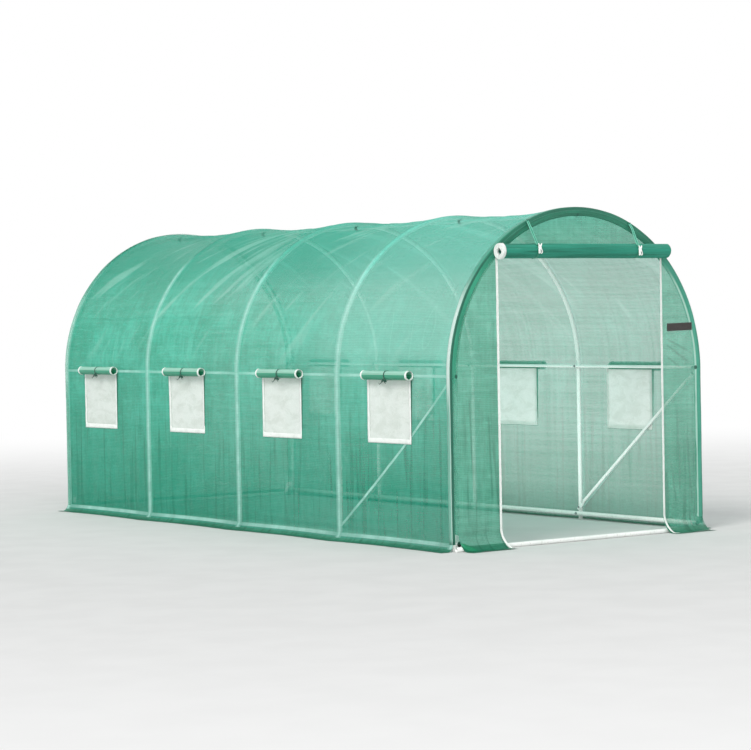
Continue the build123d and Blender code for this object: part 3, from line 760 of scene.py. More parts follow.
def cover():
    """One sheet from skirt to skirt, over all the hoops, with eight windows cut out."""
    marks = [-SIDE_LEN, *HOOPS, SIDE_LEN]
    for y in WIN_Y:
        marks += [y - WIN_HALF, y + WIN_HALF]
    ys = lines(sorted(marks), 0.0185)
    wall = lines([SIDE_FOOT, WIN_LOW, WIN_HIGH, SPRING], 0.0185)
    arch = np.linspace(0, math.pi, 169)[1:-1]
    # Each row: side, kind and value, from the left skirt's edge over to the right one.
    left = [("skirt", t) for t in np.linspace(1, 0, 12)[:-1]] + [("wall", z) for z in wall]
    rows = [(-1, k, v) for k, v in left] + [(0, "arch", math.pi - a) for a in arch]
    rows += [(1, k, v) for k, v in left[::-1]]
    n, m = len(rows), len(ys)
    pos, out, clean = np.zeros((n, m, 3)), np.zeros((n, m, 3)), np.zeros((n, 2))
    radius = wall_x(ys)
    for i, (sign, kind, value) in enumerate(rows):
        pos[i, :, 1] = ys
        out[i, :, 0] = sign
        if kind == "skirt":
            wave = 0.004 * soft_noise(ys * 7 + 5, 2.5, 11) + 0.003 * soft_noise(ys * 19, 7.5, 12)
            x, z = skirt_curve(value, 0.035, 0.0925, SIDE_FOOT)
            ripple = np.clip(up_noise(ys * 11 + 3, 1.5, 13), 0, 1)
            pos[i, :, 0] = sign * (radius + x + wave * smooth(value, 0.3, 1.0))
            rise = 0.006 * ripple * smooth(value, 0.5, 1.0)
            pos[i, :, 2] = z + rise * (1 - 0.4 * smooth(value, 0.9, 1))
            clean[i] = sign * (FILM_R + float(x)), float(z)
        elif kind == "wall":
            pos[i, :, 0] = sign * radius
            pos[i, :, 2] = value
            clean[i] = sign * FILM_R, value
        else:
            x, z = math.cos(value), math.sin(value)
            pos[i, :, 0], pos[i, :, 2] = radius * x, SPRING + radius * z
            out[i, :, 0], out[i, :, 2] = x, z
            clean[i] = FILM_R * x, SPRING + FILM_R * z
    girth = lengths(clean)
    # Wrinkles, all outwards, and none where the film lies on a tube.
    S, Y = np.meshgrid(girth, ys, indexing="ij")
    free = smooth(hoop_distance(Y), 0.012, 0.16)
    height = pos[:, :, 2]
    low = smooth(height, 0.95, 0.25)
    high = smooth(height, 1.0, 1.5)
    upright = 0.0052 * up_noise(Y * 15, S * 1.1, 21) ** 2
    upright = low * (upright + 0.0022 * up_noise(Y * 31 + S * 2, S * 1.8, 22))
    level = 0.0022 * up_noise(S * 17 + Y * 0.6, Y * 1.6, 23) * (1 - low * 0.7)
    crease = np.abs(soft_noise(Y * 3.4 + 0.6 * soft_noise(S * 1.2, Y, 25), S * 0.55, 24))
    ridge = 0.0030 * high * np.clip(1 - crease / 0.10, 0, 1) ** 1.5
    flop = 0.0018 * high * up_noise(Y * 2.6, S * 1.3, 26)
    lift = free * (upright + level + ridge + flop)
    rail = np.minimum(np.abs(height - RAIL_Z), np.abs(height - GROUND_Z))
    lift = lift * (0.25 + 0.75 * smooth(rail, 0.01, 0.07))
    on_ground = np.array([k == "skirt" for _, k, _ in rows])
    lift[on_ground] *= np.array([1 - v for _, k, v in rows if k == "skirt"])[:, None] * 0.5
    above = np.maximum(np.abs(height - (WIN_LOW + WIN_HIGH) / 2) - (WIN_HIGH - WIN_LOW) / 2, 0)
    for y in WIN_Y:
        near = np.maximum(np.abs(Y - y) - WIN_HALF, 0) + above
        lift = lift * (0.15 + 0.85 * smooth(near, 0.01, 0.09))
    pos += out * lift[:, :, None]
    faces, gone = [], 0.0
    for i, ((_, kind, value), (_, kind2, value2)) in enumerate(zip(rows, rows[1:])):
        walled = kind == kind2 == "wall" and WIN_LOW < (value + value2) / 2 < WIN_HIGH
        for j in range(m - 1):
            y = (ys[j] + ys[j + 1]) / 2
            if walled and any(abs(y - w) < WIN_HALF for w in WIN_Y):
                gone += (ys[j + 1] - ys[j]) * abs(value2 - value)
                continue
            a = i * m + j
            faces.append((a, a + 1, a + m + 1, a + m))
    piece = film_piece("cover_film", pos, np.stack([Y, S], -1), faces, FILM, 0.022)
    length = 2 * SIDE_LEN
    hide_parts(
        "front_roof_film",
        "second_roof_film",
        "third_roof_film",
        "rear_roof_film",
        "left_wall_film",
        "right_wall_film",
        "left_skirt",
        "right_skirt",
    )
    float(length * girth[-1] - gone)


cover()


# ---------------------------------------------------------------- end films
def half_width(z):
    return float(np.sqrt(max(PANEL_R**2 - max(z - SPRING, 0) ** 2, 0)))


def end_film(name, front):
    """The whole end sheet with its skirt, with the doorway cut out of the front one."""
    side = -1 if front else 1
    walls = lines([END_FOOT, SPRING], 0.019)
    arch_z = SPRING + PANEL_R * np.sin(np.linspace(0, math.pi / 2, 74))
    arch_z[int(np.searchsorted(arch_z, DOOR_TOP))] = DOOR_TOP
    rows = [("skirt", t) for t in np.linspace(1, 0, 13)[:-1]]
    rows += [("wall", z) for z in (*walls[:-1], *arch_z[:-1], SPRING + PANEL_R - 0.0004)]
    n_left, n_mid, n_right = 20, 66, 17
    pos, uvs = [], []
    for kind, value in rows:
        skirt = kind == "skirt"
        z = END_FOOT if skirt else value
        h = half_width(z)
        a, b = DOOR_L, DOOR_R
        if z > DOOR_TOP + 1e-6:
            a, b = a * h / half_width(DOOR_TOP), b * h / half_width(DOOR_TOP)
        left_x, right_x = -h, h
        if skirt:
            left_x = -h + (0.036 if front else 0.064)
            right_x = h if front else h - 0.064
        parts = (left_x, a, n_left), (a, b, n_mid), (b, right_x, n_right)
        xs = np.concatenate([[left_x], *(np.linspace(p, q, count + 1)[1:] for p, q, count in parts)])
        if skirt:
            off, down = skirt_curve(value, 0.068, 0.127, END_FOOT)
            wave = 0.005 * soft_noise(xs * 9 + 4, 3.3, 31) * smooth(value, 0.4, 1)
            ripple = np.clip(up_noise(xs * 13, 5.1, 32), 0, 1)
            y, z = END_Y + off + wave, down + 0.007 * ripple * smooth(value, 0.5, 1.0)
            v = END_FOOT - value * 0.21
        else:
            edge = np.minimum(np.minimum(h - np.abs(xs), 0.2), PANEL_R - np.hypot(xs, max(z - SPRING, 0)))
            low = smooth(z, 1.2, 0.25)
            pleat = up_noise(xs * 17 + 0.8 * z, z * 1.2, 33 + front)
            pleat2 = up_noise(xs * 33 - z * 3, z * 2.1, 35 + front)
            pull = up_noise(z * 15 + xs * 4, xs * 2, 37 + front)
            lift = 0.0075 * low * pleat**2 + 0.003 * low * pleat2 + 0.0035 * pull
            lift = smooth(edge, 0.01, 0.09) * lift
            if front and z <= DOOR_TOP:
                near = np.minimum(np.abs(xs - DOOR_L), np.abs(xs - DOOR_R))
                lift = lift * (0.1 + 0.9 * smooth(near, 0.0, 0.07))
            y, v = END_Y + lift, z
        pos.append(np.stack(np.broadcast_arrays(xs, side * y, z), -1))
        uvs.append(np.stack(np.broadcast_arrays(xs, v), -1))
    pos, uvs = np.array(pos), np.array(uvs)
    n, m = pos.shape[:2]
    if front:
        fan_wrinkles(pos, side)
    faces, area = [], 0.0
    for i in range(n - 1):
        for j in range(m - 1):
            if front and n_left <= j < n_left + n_mid and pos[i + 1, j, 2] <= DOOR_TOP + 1e-4:
                continue
            k = i * m + j
            faces.append((k, k + 1, k + m + 1, k + m) if front else (k, k + m, k + m + 1, k + 1))
            a, b, c, d = pos[i, j], pos[i, j + 1], pos[i + 1, j + 1], pos[i + 1, j]
            area += 0.5 * (np.linalg.norm(np.cross(b - a, c - a)) + np.linalg.norm(np.cross(c - a, d - a)))
    piece = film_piece(name, pos, uvs, faces, END_FILM, 0.032 if front else 0.060)
    if front:
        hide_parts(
            "front_left_panel",
            "front_right_panel",
            "front_top_panel",
            "front_left_skirt",
            "front_right_skirt",
        )
    else:
        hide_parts("rear_panel", "rear_skirt")


def fan_wrinkles(pos, side):
    """Raised folds beside the doorway: slanting ones below the patch, and upright ones low down."""
    x, z = pos[:, :, 0], pos[:, :, 2]
    for x0, z0, x1, z1, width, depth in (
        (0.70, 1.20, 0.93, 1.10, 0.010, 0.006),
        (0.69, 1.17, 0.92, 1.03, 0.011, 0.007),
        (0.69, 1.10, 0.86, 0.99, 0.010, 0.005),
        (0.78, 0.80, 0.80, 0.30, 0.012, 0.009),
        (0.86, 0.62, 0.90, 0.16, 0.012, 0.008),
        (0.72, 0.45, 0.77, 0.14, 0.010, 0.007),
        (-0.86, 0.90, -0.84, 0.30, 0.010, 0.005),
        (-0.72, 0.80, -0.70, 0.25, 0.010, 0.005),
    ):
        length = math.hypot(x1 - x0, z1 - z0)
        dx, dz = (x1 - x0) / length, (z1 - z0) / length
        along = (x - x0) * dx + (z - z0) * dz
        across = np.abs(-(x - x0) * dz + (z - z0) * dx)
        shape = smooth(along, -0.03, 0.06) * smooth(along, length + 0.03, length - 0.08)
        pos[:, :, 1] += side * depth * shape * np.exp(-((across / width) ** 2)) * (z > END_FOOT)


end_film("front_film", True)
end_film("rear_film", False)


# ---------------------------------------------------------------- hems over the end hoops
def hem(name, side):
    """Doubled cloth that folds from the end face round on to the roof."""
    walls = lines([0.042, SPRING], 0.03)
    line = [(1.0, 0.0, z) for z in walls[:-1]]
    line += [(math.cos(a), math.sin(a), SPRING) for a in np.linspace(0, math.pi, 141)]
    line += [(-1.0, 0.0, z) for z in walls[:-1][::-1]]
    inner, crown = 0.9402, 0.9946
    # Across the band, as (radius, distance from the middle of the tunnel).
    across = [(inner, 2.2530), (inner + 0.012, 2.2541), (inner + 0.026, 2.2546), (inner + 0.040, 2.2545)]
    across += [(crown - 0.006, 2.2541), (crown - 0.002, 2.2528), (crown - 0.0004, 2.2500), (crown, 2.2440)]
    across += [(crown, 2.2340), (crown - 0.0003, 2.2240), (crown - 0.0012, 2.2150)]
    back = [
        (r - (0.0013 if y < 2.2525 else 0.0006), min(y, 2.2546) - 0.0014 if y > 2.2450 else y)
        for r, y in across
    ]
    ring = across + back[::-1]
    run = lengths(across)
    run = np.concatenate([run, run[::-1]])
    girths = lengths([(cx * 0.99, base + cz * 0.99) for cx, cz, base in line])
    swells = 0.0012 * soft_noise(girths * 9.0, side * 3.0 + 9, 41)
    points, uv = [], []
    for (cx, cz, base), girth, swell in zip(line, girths, swells):
        for (r, y), along in zip(ring, run):
            k = along / run.max()
            rr = r + swell * (0.4 + 0.6 * k)
            points.append((cx * rr, side * (y + 0.6 * swell * (1 - k)), base + cz * rr))
            uv.append((girth, along))
    faces = closed(len(line), len(ring))
    if side > 0:
        faces = [(f[0], *f[:0:-1]) if len(f) == 4 else f[::-1] for f in faces]
    piece = add_piece(name, points, faces, HEM if side < 0 else LIT_REAR_HEM, uv=uv)
    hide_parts("front_hem_band" if side < 0 else "rear_hem_band")
    float(run.max())


hem("front_hem", -1)
hem("rear_hem", 1)


# ---------------------------------------------------------------- frame tubes
def hoop(name, node, y):
    """Two posts with their shoulders, and a crown tube pushed into them."""

    def arc(sign, angles):
        return [(sign * HOOP_R * math.cos(a), y, SPRING + HOOP_R * math.sin(a)) for a in angles]

    b = Batch()
    joint, neck = math.radians(42), 0.010 / HOOP_R
    for sign in (-1, 1):
        path = [(sign * HOOP_R, y, z) for z in np.linspace(0.0, SPRING, 12)[:-1]]
        path += arc(sign, np.linspace(0, joint, 30))
        radius = np.full(len(path), TUBE)
        radius[-1] = TUBE - 0.0006
        b.add(*tube(path, radius, 28, TUBE_WALL))
    angles = [joint - neck, joint, joint + neck, joint + 1.6 * neck]
    middle = np.linspace(joint + 2.4 * neck, math.pi - joint - 2.4 * neck, 58)
    path = arc(1, [*angles, *middle, *(math.pi - a for a in angles[::-1])])
    radius = np.full(len(path), TUBE)
    radius[:3] = radius[-3:] = TUBE - 0.0016
    radius[3] = radius[-4] = TUBE - 0.0004
    b.add(*tube(path, radius, 28))
    piece = b.piece(name, STEEL)
    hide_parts(node)


for hoop_name, y in zip(("front_hoop", "second_hoop", "middle_hoop", "fourth_hoop", "rear_hoop"), HOOPS):
    hoop(hoop_name + "_tube", hoop_name, y)


def rail(node, start, end, radius):
    """A straight open tube."""
    b = Batch()
    start, end = np.array(start), np.array(end)
    b.add(*tube([start + (end - start) * t for t in np.linspace(0, 1, 9)], radius, 28, TUBE_WALL))
    piece = b.piece(node + "_tube", STEEL)
    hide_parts(node)


rail("ridge_rail", (0, -2.25, RIDGE_Z), (0, 2.25, RIDGE_Z), RAIL_R)
for side, sign in SIDES:
    for kind, x, z, radius in (("mid", RAIL_X, RAIL_Z, RAIL_R), ("ground", GROUND_X, GROUND_Z, TUBE)):
        rail(f"{side}_{kind}_rail", (sign * x, -2.25, z), (sign * x, 2.25, z), radius)
for end, sign in (("front", -1), ("rear", 1)):
    rail(f"{end}_sill_rail", (-0.980, sign * 2.2643, TUBE), (0.980, sign * 2.2643, TUBE), TUBE)

for node in ("left_brace", "right_brace"):
    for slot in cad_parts[node].material_slots:
        slot.material = STEEL


# ---------------------------------------------------------------- corner flap and patch
def corner_flap():
    """A loose corner of the front skirt that stands up beside the post."""
    rows, cols = 9, 10
    outline = [(-0.950, -2.266, 0.050), (-0.925, -2.272, 0.046), (-0.880, -2.304, 0.020)]
    outline += [(-0.872, -2.330, 0.004), (-0.918, -2.326, 0.005), (-0.942, -2.300, 0.018)]
    a, b, b2, c, d, d2 = (np.array(p) for p in outline)
    points, uv = [], []
    for t in np.arange(rows) / (rows - 1):
        left = (1 - t) ** 2 * a + 2 * t * (1 - t) * (2 * d2 - 0.5 * (a + d)) + t**2 * d
        right = (1 - t) ** 2 * b + 2 * t * (1 - t) * (2 * b2 - 0.5 * (b + c)) + t**2 * c
        for k in np.arange(cols) / (cols - 1):
            q = left * (1 - k) + right * k
            q[1] -= 0.006 * math.sin(math.pi * k) * (1 - t) + 0.003 * math.sin(5 * k + 3 * t)
            q[2] = max(q[2], 0.0035)
            points.append(q)
            uv.append((k * 0.06, t * 0.08))
    piece = add_piece("corner_flap", points, grid(rows, cols), BRIGHT, uv=uv)


def patch():
    """A small blank sewn patch with a raised edge."""
    x0, x1, z0, z1 = 0.713, 0.920, 1.245, 1.292
    cols, rows = 28, 8
    points = []
    for i in range(rows + 1):
        for j in range(cols + 1):
            x = x0 + (x1 - x0) * j / cols
            z = z0 + (z1 - z0) * i / rows + 0.004 * (j / cols)
            edge = min(j, cols - j, i * 1.6, (rows - i) * 1.6)
            bulge = 0.0008 * (edge < 1.5) + 0.0012 * float(soft_noise(x * 26, z * 26, 51))
            points.append((x, -(END_Y + 0.0052 + bulge), z))
    faces = grid(rows + 1, cols + 1)
    rim, first = rim_of(rows + 1, cols + 1), len(points)
    points += [(points[k][0], -(END_Y + 0.0010), points[k][2]) for k in rim]
    for a in range(len(rim)):
        c = (a + 1) % len(rim)
        faces.append((rim[c], rim[a], first + a, first + c))
    add_piece("blank_patch", points, faces, PATCH, uv=[(x, z) for x, _, z in points])


corner_flap()
patch()


# ---------------------------------------------------------------- zip tapes
ZIP = [(-0.0070, 0.0), (-0.0068, 0.0006), (-0.0040, 0.0009), (0.0, 0.0008), (0.0040, 0.0009)]
ZIP += [(0.0068, 0.0006), (0.0070, 0.0), (0.0040, -0.0005), (-0.0040, -0.0005)]


def zip_tapes():
    """White tapes down both edges of the doorway, out along the skirt to the ground, with coils."""
    tapes, coils = Batch(), Batch()
    for edge, inward, toe in ((DOOR_L, 1, 0.030), (DOOR_R, -1, 0.026)):
        # The tape's middle, from behind the roll down to the ground.
        places = [(z, 0.0, 0.0) for z in np.linspace(1.702, 0.120, 84)]
        for t in np.linspace(0.03, 1.0, 22):
            off, down = skirt_curve(t * 0.93, 0.068, 0.122, END_FOOT)
            places.append((down + 0.002, off, t**1.3))
        z, off, lean = np.array(places, float).T
        x = edge - inward * 0.007 + toe * lean
        line = np.stack([x, -(END_Y + 0.0022 + off), np.maximum(z, 0.0045)], -1)
        z = line[:, 2]
        line[:, 1] -= 0.0012 * up_noise(z * 9, edge * 7, 55) * smooth(z, 1.68, 1.55)
        wide = np.array([1.0, 0.0, 0.0])
        out = np.cross(wide, unit(np.gradient(line, axis=0)))
        out *= np.sign(-out[:, 1])[:, None]
        along = lengths(line)
        points = [line[i] + wide * w + out[i] * h for i in range(len(line)) for w, h in ZIP]
        tapes.add(points, closed(len(line), len(ZIP)), [(a, w) for a in along for w, _ in ZIP])
        # The coil on the doorway side: one bulge for each tooth.
        count = int(along[-1] / 0.0014)
        at = np.linspace(0, along[-1], count)
        path = np.stack([np.interp(at, along, line[:, k]) for k in range(3)], -1) + wide * inward * 0.0068
        path[:, 1] -= 0.0006
        coils.add(*tube(path, np.where(np.arange(count) % 2 == 0, 0.0021, 0.0014), 7))
    piece = tapes.piece("door_zip_tape", WHITE)
    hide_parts("door_zip_tapes")
    coils.piece("door_zip_coil", PLASTIC)


zip_tapes()


# ---------------------------------------------------------------- rolled door
def door_roll():
    """The door film, about 1.6 m of it, wound up tight with its loose edge underneath."""
    pitch = 0.0037
    start = math.radians(112)  # where the film leaves the roll, at its back
    angle, radius, arc = spiral(ROLL_R, pitch, 7.6, 44)
    xs = np.concatenate([np.linspace(-0.640, 0.657, 96), np.linspace(0.661, 0.6805, 9)])
    X, A = np.meshgrid(xs, angle, indexing="ij")
    Rr = np.broadcast_to(radius, X.shape).copy()
    depth = (ROLL_R - Rr) / ROLL_R
    slack = soft_noise(X * 3.2, A * 0.9 + 3, 61) + 0.5 * soft_noise(X * 8.0, A * 1.7, 62)
    Rr -= (1 - depth) * 0.0008 * (1 + slack)
    long_fold = np.clip(1 - np.abs(soft_noise(X * 1.4, A * 1.25 + 9, 63)) / 0.16, 0, 1)
    Rr -= (1 - depth) ** 2 * 0.0014 * long_fold
    for x in TIE_X:
        Rr -= (1 - depth) * 0.0034 * np.exp(-(((X - x) / 0.014) ** 2))
    Rr -= (1 - depth) * 0.010 * smooth(X, 0.661, 0.6805) ** 2
    # Each turn ends a little further in or out than the one under it.
    stagger = 0.0022 * np.sin(A * 0.61 + 1.0) * smooth(X, 0.61, 0.68)
    Y, Z = ROLL_Y + Rr * np.cos(start + A), ROLL_Z + Rr * np.sin(start + A)
    points = np.stack([np.minimum(X + stagger, 0.6808), Y, Z], -1).reshape(-1, 3)
    uv = np.stack(np.broadcast_arrays(X, arc), -1).reshape(-1, 2)
    piece = add_piece("door_roll_film", points, grid(*X.shape), ROLL, uv=uv)
    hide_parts("door_roll")

    # Its white zip edge, wound as thickly, with a pear-shaped hole in the middle.
    angle, radius, arc = spiral(0.0482, pitch, 7.2, 40)
    ring = [(-0.0092, 0.36), (-0.0086, 0.50), (0.0086, 0.56), (0.0092, 0.3)]
    ring += [(0.0092, -0.3), (0.0086, -0.56), (-0.0086, -0.50), (-0.0092, -0.36)]
    points, uv = [], []
    for a, middle, along in zip(angle, radius, arc):
        for dx, k in ring:
            r = middle + k * 0.0033
            y, z = r * math.cos(start + a), r * math.sin(start + a)
            inner = max(0.0, 1 - (r - 0.019) / 0.029)
            if z > 0:
                y *= 1 - 0.50 * inner * min(1.0, z / 0.018)
            bulge = 0.0006 * math.cos(a * 0.37)
            points.append((-0.6472 + dx + bulge * (dx < 0), ROLL_Y + y, ROLL_Z + z))
            uv.append((along, dx))
    piece = add_piece("door_roll_tape", points, closed(len(angle), len(ring)), WHITE, uv=uv)
    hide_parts("door_roll_edge")


def door_ties():
    """Two ties that hold the roll up, each with its strap and cord lock."""
    mint, lace, dark, buckles = Batch(), Batch(), Batch(), Batch()
    for x, lean, top_z, sink in ((TIE_X[0], -0.013, 1.919, 0.0), (TIE_X[1], 0.002, 1.905, -0.012)):
        # Two strands from a stitched end on the hem down over the roll to the buckle.
        route = [
            (lean, -2.2590, top_z),
            (lean * 0.98, -2.2603, top_z - 0.006),
            (lean * 0.66, -2.2822, 1.870),
            (lean * 0.33, -2.3056, 1.824),
            (0.0, -2.3280, 1.7800),
            (0.0, -2.3400, 1.7770 + 0.5 * sink),
            (0.0, -2.3470, 1.7745 + sink),
        ]
        for k in (-0.0068, 0.0068):
            path = curve_through([(x + dx + k, y, z) for dx, y, z in route], 48)
            mint.add(*ribbon(path, (1, 0, 0), 0.0060, 0.0016))
        path = curve_through([(x + dx, y + 0.0006, z - 0.0008) for dx, y, z in route], 48)
        lace.add(*ribbon(path, (1, 0, 0), 0.0100, 0.0010))
        # The end is sewn to the hem under a small folded tab.
        dark.add(*block((0.018, 0.0022, 0.014), (x + lean, -2.2570, top_z), 0.0008))
        # The strap that goes round the roll under the buckle.
        turn = np.linspace(math.radians(96), math.radians(96 + 352), 46)
        r = ROLL_R - 0.0014
        loop = (x - 0.006 + 0.002 * np.sin(turn), ROLL_Y + r * np.cos(turn), ROLL_Z + r * np.sin(turn))
        lace.add(*ribbon(np.stack(loop, -1), (1, 0, 0), 0.014, 0.0012))
        # A moulded cord lock: two ears, a waisted body, a leg and a ring.
        cy = -2.3545

        def limb(count, radii, sides, *points):
            """A tapering limb through points of the lock, with its radii at shares of its length."""
            path = curve_through([(x + 0.86 * dx, cy + dy, z + sink) for dx, dy, z in points], count)
            radius = np.interp(np.linspace(0, 1, len(path)), *radii)
            return path, radius, sides

        for side in (-1, 1):
            ear = [(0.0135, 0.002, 1.7815), (0.0105, 0.0005, 1.7730)]
            ear = [(side * dx, dy, z) for dx, dy, z in (*ear, (0.0055, 0, 1.7630), (0.003, 0, 1.7560))]
            path, taper, sides = limb(15, ([0, 1], [0.0034, 0.0046]), 14, *ear)
            taper[0] = 0.0022
            buckles.add(*tube(path, taper, sides))
        body = [(0, 0, 1.7690), (-0.0005, -0.0005, 1.7610), (0, -0.0005, 1.7530), (0.001, 0, 1.7440)]
        waist = ([0, 0.15, 0.5, 0.8, 1], [0.0052, 0.0078, 0.0072, 0.0096, 0.0080])
        buckles.add(*tube(*limb(18, waist, 18, *body)))
        leg = [(-0.0070, 0, 1.7480), (-0.0092, 0, 1.7400), (-0.0096, 0, 1.7290), (-0.0090, 0.001, 1.7215)]
        path, taper, sides = limb(12, ([0, 1], [0.0046, 0.0040]), 14, *leg)
        taper[-1] = 0.0026
        buckles.add(*tube(path, taper, sides))
        turn = np.linspace(0, 2 * math.pi, 33)
        ring = (x + 0.0074 + 0.0080 * np.cos(turn), cy, 1.7345 + sink + 0.0112 * np.sin(turn))
        buckles.add(*tube(np.stack(np.broadcast_arrays(*ring), -1), 0.0030, 12))
        # The back plate through which the strap is threaded.
        buckles.add(*block((0.020, 0.0034, 0.046), (x, -2.3500, 1.7510 + sink), 0.0012))
    for batch, name, material in (
        (mint, "door_tie_edges", MINT),
        (lace, "door_tie_strands", LACE),
        (dark, "door_tie_tabs", TIE),
    ):
        piece = batch.piece(name, material)
        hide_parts("door_ties")
    piece = buckles.piece("door_cord_locks", PLASTIC)
    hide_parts("door_toggles")


door_roll()
door_ties()


# ---------------------------------------------------------------- windows
FLAP_RING = [(-0.5, 0.3), (-0.44, 0.5), (0.44, 0.5), (0.5, 0.3)]
FLAP_RING += [(0.5, -0.3), (0.44, -0.5), (-0.44, -0.5), (-0.5, -0.3)]


def window_screen(yc, sign, skew, seed):
    """Behind the film's edge all round, and slack in the middle."""
    cols, rows = 30, 27
    U, W = np.meshgrid(np.linspace(-1, 1, cols + 1), np.linspace(0, 1, rows + 1))
    y = yc + U * (WIN_HALF + 0.006) + skew * (1 - W)
    z = WIN_LOW - 0.005 + W * (WIN_HIGH - WIN_LOW + 0.010)
    belly = (1 - U**2) * (4 * W * (1 - W))
    ripple = 0.0014 * soft_noise(U * 2.2 + seed, W * 1.9, 70 + seed)
    ripple = ripple + 0.0010 * soft_noise(U * 5 + W * 2, W * 4 + seed, 71)
    x = sign * (wall_x(y) - 0.0016 + belly * (0.0030 + ripple))
    faces = [f[::-sign] for f in grid(rows + 1, cols + 1)]
    return np.stack([x, y, z], -1).reshape(-1, 3), faces, np.stack([y, z], -1).reshape(-1, 2)


def window_strip(y0, y1, z0, z1, lift, sign, skew, seed):
    """A border tape on the film, with a thickness."""
    n_y, n_z = max(1, round((y1 - y0) / 0.010)), max(1, round((z1 - z0) / 0.010))
    y, z = np.meshgrid(np.linspace(y0, y1, n_y + 1), np.linspace(z0, z1, n_z + 1))
    y = y + skew * np.clip((WIN_HIGH - z) / (WIN_HIGH - WIN_LOW), 0, 1)
    x = wall_x(y) + lift + 0.0008 * soft_noise(y * 30, z * 30, 75 + seed)
    points = np.concatenate([np.stack([sign * (x - d), y, z], -1).reshape(-1, 3) for d in (0, 0.0012)])
    half = len(points) // 2
    faces = []
    for a, b, c, d in grid(n_z + 1, n_y + 1):
        faces += [(a, b, c, d), (half + a, half + d, half + c, half + b)]
    rim = rim_of(n_z + 1, n_y + 1)
    faces += [(b, a, half + a, half + b) for a, b in zip(rim, rim[1:] + rim[:1])]
    return points, [f[::-sign] for f in faces], points[:, 1:]


